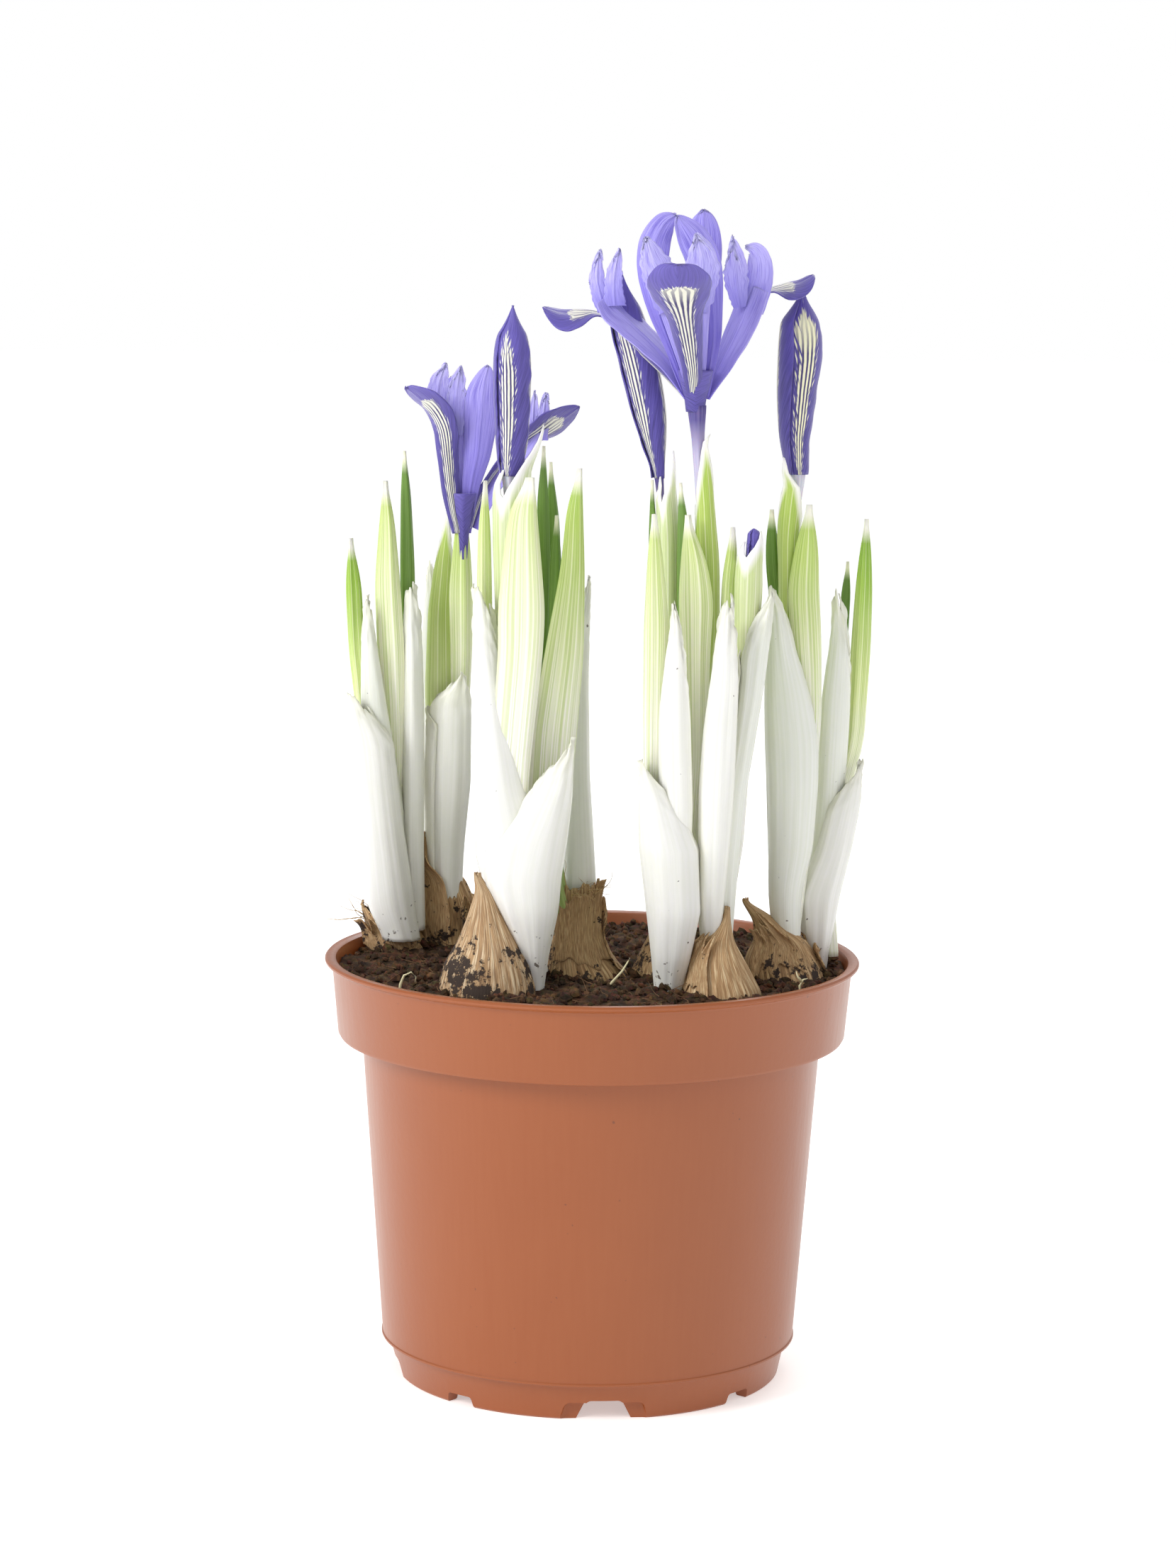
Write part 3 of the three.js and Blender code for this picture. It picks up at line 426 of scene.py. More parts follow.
def plain_fibre(name, colour, rough=0.8):
    """Dry plant fibre: one tone, a little lighter and darker along it."""
    material, tree = new_material(name)
    place = add(tree, "TexCoord").outputs["Object"]
    tone = add(tree, "TexNoise", {0: place, "Scale": 300, "Detail": 2}).outputs[0]
    shades = mixed(tree, tone, [c * 0.6 for c in linear(colour)[:3]] + [1], linear(colour))
    return surfaced(material, shades, rough)


peat_lines = []
for _ in range(FIBRES):
    turn = chance.uniform(0, 2 * math.pi)
    out = (soil_edge - 3) * math.sqrt(chance.random())
    x, y = out * math.cos(turn), out * math.sin(turn)
    start = Vector((x, y, soil_height(x, y) + 0.2))
    heading = Vector((chance.uniform(-1, 1), chance.uniform(-1, 1), chance.uniform(-0.05, 0.25)))
    line = wander(start, heading.normalized(), chance.uniform(2, 7), 6, 0.35)
    peat_lines.append([Vector((p.x, p.y, max(p.z, soil_height(p.x, p.y) + 0.1))) for p in line
                       if p.xy.length < soil_edge] or [start, start + heading])
peat_lines = [line for line in peat_lines if len(line) > 2]
peat_fibres = strands("peat_fibres", peat_lines, 0.11)
finish_piece(peat_fibres, "peat_fibres", [plain_fibre("peat_fibre", "#7A5A3C")])

# ---------------------------------------------------------------------------------------------
# Bulbs. Seven bulbs half out of the soil, each in a dry, tan, netted tunic whose fibres run up
# to a torn neck. Each is a sheet bent round the bulb, creased along its fibres, and most have
# loose flakes of tunic over them; soil clings to them, most of all to the third.
# ---------------------------------------------------------------------------------------------
SLICES = 60
BULB_COLUMNS = 80
BULB_ROWS = 44
TUNIC_THICKNESS = 0.5
FLAKE_COLUMNS = 30
FLAKE_ROWS = 24
FLAKE_THICKNESS = 0.25
FLAKE_LIFT = 0.9


def sections(node):
    """Height, middle x and y and half width and depth of a CAD node at even heights, in mm."""
    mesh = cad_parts[node].data
    points = np.array([v.co for v in mesh.vertices]) / MM
    pairs = np.array([e.vertices for e in mesh.edges])
    first, second = points[pairs[:, 0]], points[pairs[:, 1]]
    rise = second[:, 2] - first[:, 2]
    rows = []
    for height in np.linspace(points[:, 2].min() + 0.2, points[:, 2].max() - 0.1, SLICES):
        crossing = ((first[:, 2] - height) * (second[:, 2] - height) <= 0) & (abs(rise) > 1e-6)
        share = (height - first[crossing, 2]) / rise[crossing]
        met = first[crossing] + (second - first)[crossing] * share[:, None]
        low, high = met.min(0), met.max(0)
        rows.append([height, *((low + high) / 2)[:2], *((high - low) / 2)[:2]])
    rows = np.array(rows)
    padded = np.pad(rows[:, 1:], ((2, 2), (0, 0)), mode="edge")
    rows[:, 1:] = sum(padded[i:i + SLICES] for i in range(5)) / 5
    return rows


def slice_at(rows, height):
    """Middle x and y and half width and depth at a height, between the rows of sections."""
    return [np.interp(height, rows[:, 0], rows[:, column]) for column in range(1, 5)]


def sheet(columns, rows, shape):
    """A grid bent so that shape(across, along), both 0 to 1, gives each point in millimetres."""
    deselect()
    bpy.ops.mesh.primitive_grid_add(x_subdivisions=columns, y_subdivisions=rows, size=2)
    piece = bpy.context.object
    for vertex in piece.data.vertices:
        across, along = (vertex.co.x + 1) / 2, (vertex.co.y + 1) / 2
        vertex.co = Vector(shape(across, along)) * MM
    return piece


def thickened(piece, thickness, inner_material=0):
    """Gives a sheet its thickness, on its inner side, and smooth shading."""
    only(piece)
    solid = piece.modifiers.new("Thickness", "SOLIDIFY")
    solid.thickness = thickness * MM
    solid.offset = -1
    solid.material_offset = inner_material
    bpy.ops.object.modifier_apply(modifier=solid.name)
    bpy.ops.object.shade_smooth()
    return piece


def around(x, y, wide, deep, turn, height):
    """A point on the oval round a piece's middle, turned away from the front."""
    return x + wide * math.sin(turn), y - deep * math.cos(turn), height


def rough_line(x, y=0.0, seed=0.0):
    """A smooth random value from -1 to 1 along a line."""
    return noise.noise(Vector((x, y, seed * 7.31)))


def tunic(name, light, dark, soil_share):
    """Dry netted tunic: tan fibres, darker grooves along them, and soil caught in them."""
    material, tree = new_material(name)
    place = add(tree, "TexCoord").outputs
    drawn = add(tree, "Mapping", {0: place["UV"], "Scale": (42, 2.2, 1)}).outputs[0]
    fibres = add(tree, "TexNoise", {0: drawn, "Scale": 1.6, "Detail": 6, "Roughness": 0.65})
    fine = add(tree, "Mapping", {0: place["UV"], "Scale": (160, 7, 1)}).outputs[0]
    threads = add(tree, "TexNoise", {0: fine, "Scale": 1, "Detail": 3}).outputs[0]
    patches = add(tree, "TexNoise", {0: place["Object"], "Scale": 120, "Detail": 4}).outputs[0]
    specks = add(tree, "TexNoise", {0: place["Object"], "Scale": 520, "Detail": 5,
                                    "Roughness": 0.7}).outputs[0]
    colour = ramp(tree, fibres.outputs[0], [(0.3, dark), (0.47, "#B8946A"), (0.6, light),
                                            (0.8, "#E3CFA8")])
    colour = mixed(tree, ramp(tree, threads, [(0.38, 0.85), (0.56, 0.0)]), colour, linear(dark))
    height = add(tree, "SeparateXYZ", {0: place["Object"]}).outputs[2]
    near_soil = add(tree, "MapRange", {0: height, 1: 0.091, 2: 0.104, 3: 0.07, 4: 0.0}).outputs[0]
    cling = maths(tree, "ADD", maths(tree, "MULTIPLY", patches, 0.55),
                  maths(tree, "MULTIPLY", specks, 0.6))
    cling = maths(tree, "ADD", maths(tree, "ADD", cling, near_soil), soil_share)
    mask = ramp(tree, cling, [(0.685, 0.0), (0.715, 1.0)])
    colour = mixed(tree, mask, colour, linear("#33241A"))
    bumps = maths(tree, "ADD", fibres.outputs[0], maths(tree, "MULTIPLY", mask, 0.5))
    return surfaced(material, colour, 0.78, (0.55, 0.6, bumps), {"Subsurface Weight": 0.05,
        "Subsurface Scale": 0.001})


def bulb_shape(rows, seed, crease, swell, torn):
    """Round the bulb, creased along its fibres, with a torn top."""
    def shape(across, along):
        turn = math.radians(-180 + 360 * across)
        ring = Vector((math.cos(turn), math.sin(turn), 0))
        tear = torn * (0.5 + noise.noise(ring * 3.5 + Vector((0, 0, seed))))
        low, high = rows[0, 0] + 6, rows[-1, 0] + 0.8 - tear
        height = low + (high - low) * along
        x, y, wide, deep = slice_at(rows, height)
        spot = ring * 4.2 + Vector((0, 0, height * 0.035 + seed))
        fold = noise.noise(spot) * 0.7 + noise.noise(ring * 11 + Vector((0, 0, spot.z))) * 0.45
        reach = crease * fold * min(1, wide / 4)
        wide, deep = max(wide, 0.35) + reach + swell, max(deep, 0.35) + reach + swell
        return around(x, y, wide, deep, turn, height)
    return shape


def flake_shape(rows, seed, start, end, low, high):
    """A loose piece of tunic over a bulb, torn at both ends and lifting at its edges."""
    def shape(across, along):
        turn = math.radians(start + (end - start) * across)
        bottom = low + 3.5 * rough_line(across * 5, 0, seed)
        top = high + 5 * rough_line(across * 7, 3, seed)
        height = bottom + (top - bottom) * along
        x, y, wide, deep = slice_at(rows, height)
        curl = FLAKE_LIFT * (abs(2 * across - 1) ** 6 * 1.2 + along ** 5 * 1.5)
        away = 0.45 + curl + 0.35 * rough_line(across * 9, height * 0.05, seed)
        return around(x, y, wide + away, deep + away, turn, height)
    return shape


clean_tunic = tunic("dry_bulb_tunic", "#E0C79E", "#94714A", -0.05)
soiled_tunic = tunic("soiled_bulb_tunic", "#E0CAA8", "#8A6C4E", 0.085)
dull_tunic = tunic("weathered_bulb_tunic", "#CFB185", "#7F603F", 0.01)
# bulb: its tunic, depth of its creases, how far its neck is torn, flakes (start, end, low, high)
BULBS = {
    "bulb_1": (dull_tunic, 0.55, 3.0, [(-70, 40, 93, 98)]),
    "bulb_2": (dull_tunic, 0.5, 1.5, [(-60, 10, 96, 113), (30, 120, 94, 104)]),
    "bulb_3": (soiled_tunic, 0.3, 1.0, []),
    "bulb_4": (dull_tunic, 0.6, 2.2, [(-40, 60, 95, 111), (60, 130, 93, 106)]),
    "bulb_5": (dull_tunic, 0.4, 1.0, []),
    "bulb_6": (clean_tunic, 0.35, 1.0, [(-95, -20, 93, 104)]),
    "bulb_7": (dull_tunic, 0.5, 1.2, [(-50, 30, 94, 104), (70, 130, 92, 99)]),
}
for number, (node, (skin, crease, torn, flakes)) in enumerate(BULBS.items()):
    rows = sections(node)
    bulb = sheet(BULB_COLUMNS, BULB_ROWS, bulb_shape(rows, number, crease, 0.1, torn))
    bpy.ops.object.mode_set(mode="EDIT")
    bpy.ops.mesh.select_all(action="SELECT")
    bpy.ops.mesh.remove_doubles(threshold=1e-6)
    bpy.ops.object.mode_set(mode="OBJECT")
    thickened(bulb, TUNIC_THICKNESS)
    finish_piece(bulb, node + "_tunic", [skin], [node])
    for i, (start, end, low, high) in enumerate(flakes):
        flake = sheet(FLAKE_COLUMNS, FLAKE_ROWS, flake_shape(
            rows, number + 3 * i + 0.5, start, end, low, high))
        thickened(flake, FLAKE_THICKNESS)
        finish_piece(flake, f"{node}_flake_{i + 1}", [skin])

# Loose fibres at the torn necks of the first and fourth bulbs, a pale root loop, a seedling.
# fibres: middle of the neck, its half width, number of fibres, where they lean, longest
NECK_FIBRES = [((-47, 22, 98.5), 4.5, 16, (-1.0, -0.2, 0.45), 13),
               ((-3, -8, 110.5), 4.5, 14, (0.25, -0.4, 0.35), 10),
               ((-38, 22.5, 117), 1.2, 5, (-0.4, -0.3, 0.6), 4),
               ((25.5, -27, 103), 1.0, 4, (0.1, -0.3, 0.8), 4)]
lines = []
for middle, spread, count, lean, longest in NECK_FIBRES:
    for _ in range(count):
        start = Vector(middle) + Vector([chance.uniform(-spread, spread) * share
                                         for share in (1, 0.6, 0.25)])
        heading = Vector(lean) + Vector([chance.uniform(-0.6, 0.6) for _ in range(3)])
        lines.append(wander(start, heading.normalized(), chance.uniform(0.4, 1) * longest, 9, 0.3))
neck_fibres = strands("neck_fibres", lines, 0.12)
finish_piece(neck_fibres, "neck_fibres", [plain_fibre("neck_fibre", "#C6A575")])

ROOT_LINES = [[(-41.8, -33, 91.5), (-41.6, -33.4, 94.2), (-40.8, -33.6, 96.2), (-39.3, -33.6, 97),
               (-38.2, -33.4, 95.8), (-38.4, -33.2, 94.6)],
              [(45.8, -26, 91.5), (45.5, -26.2, 93.6), (46.2, -26.4, 95), (47.2, -26.4, 95.2)],
              [(46.0, -26.2, 94.4), (45.0, -26.4, 95.6), (44.6, -26.5, 96.8)],
              [(3.6, -25, 92), (4.4, -27, 94), (6.6, -27, 96.5), (7.8, -26, 98.4), (8.2, -25, 99)]]
roots = strands("pale_roots", [[Vector(p) for p in line] for line in ROOT_LINES], 0.38)
finish_piece(roots, "pale_roots", [plain_fibre("pale_root", "#EDE3B8", 0.5)])

# ---------------------------------------------------------------------------------------------
# Leaves. Long rolled leaves, white where they were underground and pale to fresh green above,
# veined along their length, each ending in a firm cream point. Every one is a sheet bent round
# the leaf's own sections, with a keel down its back and a free edge.
# ---------------------------------------------------------------------------------------------
LEAF_COLUMNS = 36
LEAF_ROWS = 64
GREEN_LEAF_ROWS = 50
LEAF_THICKNESS = 0.4
# how far a leaf's free edge lies outside its other edge, in mm
LEAF_ROLL = 0.5


def leaf_skin(name, low_tone, middle_tone, top_tone, tip="#F1F2DC", veins=0.6, white_to=0.150):
    """Living leaf skin: white below, greener upwards, fine veins, and a cream tip."""
    material, tree = new_material(name)
    place = add(tree, "TexCoord").outputs
    height = add(tree, "SeparateXYZ", {0: place["Object"]}).outputs[2]
    sheet_place = add(tree, "SeparateXYZ", {0: place["UV"]}).outputs
    drift = add(tree, "TexNoise", {0: add(tree, "Mapping", {
        0: place["Object"], "Scale": (420, 420, 26)}).outputs[0], "Scale": 1, "Detail": 3})
    level = maths(tree, "ADD", height, maths(tree, "MULTIPLY", maths(
        tree, "SUBTRACT", drift.outputs[0], 0.5), 0.030))
    grow = add(tree, "MapRange", {0: level, 1: white_to - 0.015, 2: white_to + 0.055}).outputs[0]
    colour = ramp(tree, grow, [(0.0, "#F5F4EA"), (0.30, low_tone), (0.68, middle_tone),
                               (1.0, top_tone)])
    lines = add(tree, "Mapping", {0: place["UV"], "Scale": (34, 0.5, 1)}).outputs[0]
    vein = add(tree, "TexNoise", {0: lines, "Scale": 1.5, "Detail": 3, "Roughness": 0.6})
    vein_share = ramp(tree, vein.outputs[0], [(0.42, 1.0), (0.56, 0.0)])
    deeper = mixed(tree, 1.0, colour, linear("#BBD07E"), "MULTIPLY")
    colour = mixed(tree, maths(tree, "MULTIPLY", vein_share, veins), colour, deeper)
    pale = ramp(tree, vein.outputs[0], [(0.56, 0.0), (0.68, 1.0)])
    colour = mixed(tree, maths(tree, "MULTIPLY", pale, 0.45), colour, linear("#F6F7E6"))
    tip_share = ramp(tree, sheet_place[1], [(0.945, 0.0), (0.978, 1.0)])
    colour = mixed(tree, tip_share, colour, linear(tip))
    return surfaced(material, colour, 0.42, (0.35, 0.3, vein.outputs[0]), {
        "Subsurface Weight": 0.35, "Subsurface Radius": (0.8, 1.0, 0.4),
        "Subsurface Scale": 0.0015})


def leaf_shape(rows, seed, start, end, keel, keel_at):
    """Rolled round the leaf's own sections from angle start to end, 0 facing the front."""
    bottom, top = rows[0, 0], rows[-1, 0] + 0.6

    def shape(across, along):
        angle = start + (end - start) * across
        turn = math.radians(angle)
        height = bottom + (top - bottom) * along
        x, y, wide, deep = slice_at(rows, height)
        off = (angle - keel_at + 180) % 360 - 180
        ridge = keel * math.exp(-(off / 16) ** 2) * min(1, wide / 2)
        bend = 0.12 * rough_line(height * 0.05, across * 3, seed)
        roll = LEAF_ROLL * (across - 0.5)
        groove = 0.05 * math.cos(across * 26 * math.pi)
        away = ridge + bend + roll + groove
        wide, deep = max(wide, 0.25), max(deep, 0.25)
        return around(x, y, wide + away, deep + away, turn, height)
    return shape


# where the foot of each shoot stands in its bulb: x and y in millimetres
SHOOT_FEET = {"1": (-43, 17), "2": (-34, 26), "3": (-13, -20), "4": (17.5, -24),
              "5": (27, -21), "6": (44, -3), "7": (54, 2)}
BACK_OF_THIRD = (-3.5, -4)
BRACT_SHOOTS = {"bract_1": "4", "bract_2": "4", "bract_3": "6", "bract_4": "3", "bract_5": "2",
                "bract_6": "5"}


def rooted(node):
    """A leaf's sections, carried on down inside its sheaths to the foot of its shoot."""
    rows = sections(node)
    foot_x, foot_y = SHOOT_FEET[BRACT_SHOOTS.get(node, node[5])]
    if node[5] == "3" and rows[0, 2] > -12:
        foot_x, foot_y = BACK_OF_THIRD
    start = rows[3]
    if start[0] < 100:
        return rows
    slim = [min(start[3], 2.2), min(start[4], 2.2)]
    return np.array([[95, foot_x, foot_y, *slim], *rows[3:]])


white_leaf = leaf_skin("blanched_leaf", "#F4F4E4", "#EBEFCC", "#D3DFA0", veins=0.5)
pale_leaf = leaf_skin("pale_green_leaf", "#EEF1D2", "#D3E09A", "#B2CA66", white_to=0.160)
fresh_leaf = leaf_skin("fresh_green_leaf", "#E9EFC6", "#C0D478", "#96B848", white_to=0.158)
bright_leaf = leaf_skin("bright_green_leaf", "#DCE7A8", "#A0C04E", "#7BA432", white_to=0.146)
# leaf: its skin, angles that it wraps from and to, height of its keel and the keel's angle
LEAVES = {
    "leaf_1a": (bright_leaf, -190, 150, 0.5, -20),
    "leaf_1b": (pale_leaf, -160, 175, 0.4, 25),
    "leaf_2a": (fresh_leaf, -180, 165, 0.5, 20),
    "leaf_3a": (pale_leaf, -170, 170, 0.4, -10),
    "leaf_3b": (white_leaf, -175, 190, 0.4, 40),
    "leaf_3f": (fresh_leaf, -180, 160, 0.6, 30),
    "leaf_4a": (pale_leaf, -170, 170, 0.4, -25),
    "leaf_4b": (pale_leaf, -170, 180, 0.5, 15),
    "leaf_5a": (fresh_leaf, -170, 170, 0.4, -15),
    "leaf_6b": (fresh_leaf, -175, 175, 0.5, 35),
    "leaf_7b": (bright_leaf, -170, 170, 0.5, -10),
}
for number, (node, (skin, start, end, keel, keel_at)) in enumerate(LEAVES.items()):
    rows = rooted(node)
    leaf = sheet(LEAF_COLUMNS, LEAF_ROWS, leaf_shape(rows, number, start, end, keel, keel_at))
    thickened(leaf, LEAF_THICKNESS)
    finish_piece(leaf, node + "_blade", [skin], [node])


def green_skin():
    """Grown leaf: deep green, smooth, with fine streaks along it, paler at its foot, and a cream
    point.
    """
    material, tree = new_material("grown_green_leaf")
    place = add(tree, "TexCoord").outputs
    sheet_place = add(tree, "SeparateXYZ", {0: place["UV"]}).outputs
    lines = add(tree, "Mapping", {0: place["UV"], "Scale": (22, 0.7, 1)}).outputs[0]
    vein = add(tree, "TexNoise", {0: lines, "Scale": 1.5, "Detail": 3}).outputs[0]
    colour = ramp(tree, vein, [(0.35, "#5C8129"), (0.5, "#769843"), (0.68, "#96B465")])
    rise = ramp(tree, sheet_place[1], [(0.55, 0.0), (0.9, 0.45)])
    colour = mixed(tree, rise, colour, linear("#4E7420"))
    paler = ramp(tree, sheet_place[1], [(0.3, 0.5), (0.6, 0.0)])
    colour = mixed(tree, paler, colour, linear("#C6D694"))
    tip_share = ramp(tree, sheet_place[1], [(0.955, 0.0), (0.985, 1.0)])
    colour = mixed(tree, tip_share, colour, linear("#EDEFD2"))
    return surfaced(material, colour, 0.38, (0.3, 0.3, vein), {"Subsurface Weight": 0.2,
        "Subsurface Radius": (0.6, 1.0, 0.2), "Subsurface Scale": 0.001})


def square_leaf_shape(rows, quarter_turn):
    """The four-angled blade of a grown leaf: raised corners, hollow sides and a sharp tip."""
    def shape(across, along):
        turn = math.radians(-180 + 360 * across)
        height = rows[0, 0] + (rows[-1, 0] + 0.6 - rows[0, 0]) * along
        x, y, wide, deep = slice_at(rows, height)
        corner = math.cos(4 * (turn - math.radians(quarter_turn)))
        reach = 1 + 0.10 * corner
        return around(x, y, max(wide, 0.2) * reach, max(deep, 0.2) * reach, turn, height)
    return shape


green_leaf = green_skin()
GREEN_LEAVES = {"leaf_1c": 30, "leaf_3c": 12, "leaf_3d": 35, "leaf_3e": 20, "leaf_4c": 35,
                "leaf_4d": 15, "leaf_6a": 28, "leaf_7a": 40}
for node, quarter_turn in GREEN_LEAVES.items():
    leaf = sheet(LEAF_COLUMNS, GREEN_LEAF_ROWS, square_leaf_shape(rooted(node), quarter_turn))
    thickened(leaf, LEAF_THICKNESS)
    finish_piece(leaf, node + "_blade", [green_leaf], [node])

# ---------------------------------------------------------------------------------------------
# Sheaths. Thin white cataphylls round the foot of each shoot, rolled one over the next, with
# oblique mouths whose margins are dry, translucent and crinkled.
# ---------------------------------------------------------------------------------------------
SHEATH_COLUMNS = 44
SHEATH_ROWS = 60
SHEATH_THICKNESS = 0.3
# the angle that a sheath wraps, more than a full turn
SHEATH_WRAP = 400


def sheath_skin(name, body, shade):
    """Blanched cataphyll: white, faintly veined, drying to a greyish film at its mouth."""
    material, tree = new_material(name)
    place = add(tree, "TexCoord").outputs
    sheet_place = add(tree, "SeparateXYZ", {0: place["UV"]}).outputs
    lines = add(tree, "Mapping", {0: place["UV"], "Scale": (40, 1.1, 1)}).outputs[0]
    vein = add(tree, "TexNoise", {0: lines, "Scale": 1.4, "Detail": 4}).outputs[0]
    cloud = add(tree, "TexNoise", {0: place["Object"], "Scale": 55, "Detail": 3}).outputs[0]
    colour = mixed(tree, ramp(tree, vein, [(0.4, 0.45), (0.58, 0.0)]), linear(body), linear(shade))
    colour = mixed(tree, ramp(tree, cloud, [(0.5, 0.0), (0.7, 0.3)]), colour, linear("#EDEFD8"))
    dry = ramp(tree, sheet_place[1], [(0.86, 0.0), (0.98, 0.6), (1.0, 0.9)])
    colour = mixed(tree, dry, colour, linear("#DCDBC6"))
    specks = add(tree, "TexNoise", {0: place["Object"], "Scale": 600, "Detail": 3}).outputs[0]
    height = add(tree, "SeparateXYZ", {0: place["Object"]}).outputs[2]
    low = add(tree, "MapRange", {0: height, 1: 0.092, 2: 0.112, 3: 0.16, 4: 0.0}).outputs[0]
    soiled = ramp(tree, maths(tree, "ADD", specks, low), [(0.76, 0.0), (0.79, 0.85)])
    colour = mixed(tree, soiled, colour, linear("#4A3626"))
    return surfaced(material, colour, 0.36, (0.2, 0.3, vein), {"Subsurface Weight": 0.45,
        "Subsurface Radius": (1.0, 0.95, 0.7), "Subsurface Scale": 0.002})


def sheath_shape(rows, seed, peak, drop, edge, edge_drop, wrinkle):
    """A rolled sheath with a slanting mouth, highest at angle peak, and a free edge at edge."""
    def shape(across, along):
        angle = edge - SHEATH_WRAP * (1 - across)
        turn = math.radians(angle)
        off = math.radians(angle - peak)
        ragged = 1.1 * rough_line(across * 14, 0, seed) + 0.5 * rough_line(across * 41, 5, seed)
        top = rows[-1, 0] + 0.5 - drop * (1 - math.cos(off)) / 2 + ragged
        top -= edge_drop * max(0, 1 - (1 - across) * SHEATH_WRAP / 95) ** 1.4
        bottom = rows[0, 0]
        height = bottom + (top - bottom) * along
        x, y, wide, deep = slice_at(rows, height)
        ring = Vector((math.cos(turn), math.sin(turn), 0))
        folds = noise.noise(ring * 3.4 + Vector((0, 0, height * 0.022 + seed * 5)))
        fine = noise.noise(ring * 9 + Vector((0, 0, height * 0.05 + seed)))
        crinkle = noise.noise(Vector((across * 18, along * 26, seed))) * along ** 10 * 0.9
        roll = 0.7 * (across - 0.5)
        away = wrinkle * (0.75 * folds + 0.3 * fine) + crinkle + roll
        wide, deep = max(wide, 0.7), max(deep, 0.7)
        return around(x, y, wide + away, deep + away, turn, height)
    return shape


white_sheath = sheath_skin("white_sheath", "#FCFAEE", "#F1F1DF")
green_sheath = sheath_skin("greenish_sheath", "#F4F5E6", "#E4E8CE")
# sheath: its skin, angle of its highest point, slant of its mouth, angle of its free edge,
# how far the mouth drops at that edge, and how deep its wrinkles are
SHEATHS = {
    "sheath_1_left": (green_sheath, 20, 6, 60, 4, 0.35),
    "sheath_1_right": (white_sheath, 30, 5, 70, 6, 0.35),
    "sheath_1_outer": (white_sheath, -60, 4, 90, 6, 0.4),
    "sheath_2_back": (white_sheath, 0, 6, 80, 4, 0.35),
    "sheath_2_outer": (white_sheath, 30, 8, -30, 10, 0.4),
    "sheath_3_back": (white_sheath, 60, 6, 100, 6, 0.4),
    "sheath_3_left": (white_sheath, -60, 6, 80, 12, 0.45),
    "sheath_3_right": (white_sheath, 70, 8, 110, 0, 0.7),
    "sheath_4_inner": (white_sheath, 10, 5, 60, 10, 0.35),
    "sheath_4_outer": (white_sheath, -70, 8, 110, 6, 0.7),
    "sheath_5_front": (white_sheath, 20, 5, 60, 6, 0.4),
    "sheath_5_right": (green_sheath, 40, 6, -60, 14, 0.4),
    "sheath_6": (green_sheath, 0, 6, 110, 6, 0.4),
    "sheath_7_inner": (green_sheath, -20, 6, 60, 12, 0.35),
    "sheath_7_outer": (white_sheath, 80, 8, 110, 0, 0.6),
}
# The outer sheaths that swell over their neighbours: height, middle x and y, half sizes.
SWELLING_SHEATHS = {
    "sheath_4_outer": [
        (90, 16.5, -25, 2.6, 3), (100, 17, -27, 4.2, 4.5), (110, 17.3, -28, 5.8, 5.5),
        (124, 16.2, -29, 6.4, 5.5), (131, 14.6, -29, 5, 4.5), (137, 13, -29, 3.4, 3.5),
        (143.2, 10.8, -29, 1.2, 1.5)],
    "sheath_3_left": [
        (94, -16.5, -20, 4.5, 5), (105, -15.5, -20, 6.4, 7), (113, -16.5, -20, 7.4, 8),
        (121, -17.5, -20, 8.2, 8), (136, -20.4, -20, 5.8, 7), (152, -22.6, -19.5, 4.2, 5),
        (169, -24.2, -18, 2.8, 3.4), (179, -24.8, -17, 2.2, 2.4)],
}
for number, (node, (skin, peak, drop, edge, edge_drop, wrinkle)) in enumerate(SHEATHS.items()):
    rows = np.array(SWELLING_SHEATHS[node]) if node in SWELLING_SHEATHS else sections(node)
    sheath = sheet(SHEATH_COLUMNS, SHEATH_ROWS, sheath_shape(
        rows, number + 11, peak, drop, edge, edge_drop, wrinkle))
    thickened(sheath, SHEATH_THICKNESS)
    finish_piece(sheath, node + "_skin", [skin], [node])

# ---------------------------------------------------------------------------------------------
# Bracts. The leafy spathe under each flower: pale green, veined, with two papery white points
# through which the flower's tube comes out.
# ---------------------------------------------------------------------------------------------
BRACT_THICKNESS = 0.3
# the angle at which a bract's wrap starts, 0 facing the front, and how far round it goes
BRACT_START = -200
BRACT_WRAP = 372


def bract_shape(rows, seed, peaks, drop, low_half):
    """A rolled bract whose mouth rises to a point at each angle of peaks."""
    def shape(across, along):
        angle = BRACT_START + BRACT_WRAP * across
        turn = math.radians(angle)
        fall = min(abs((angle - peak + 180) % 360 - 180) * rate + start_drop
                   for peak, rate, start_drop in peaks)
        top = rows[-1, 0] + 0.5 - min(fall, drop) + 0.35 * rough_line(across * 20, 0, seed)
        bottom = rows[0, 0]
        height = bottom + (top - bottom) * along
        x, y, wide, deep = slice_at(rows, height)
        wide, deep = max(wide, low_half), max(deep, low_half)
        groove = 0.05 * math.cos(across * 30 * math.pi)
        away = 0.5 * (across - 0.5) + groove + 0.15 * rough_line(height * 0.06, across * 4, seed)
        away += 0.25 * rough_line(across * 12, along * 20, seed) * along ** 8
        return around(x, y, wide + away, deep + away, turn, height)
    return shape


green_bract = leaf_skin("green_bract", "#DDE7AE", "#BDD078", "#B3C866", "#F2F3E6", 0.45, 0.140)
papery_bract = leaf_skin("papery_bract", "#E0E8BC", "#CBD8A0", "#E4E6D6", "#F6F5F0", 0.4, 0.155)
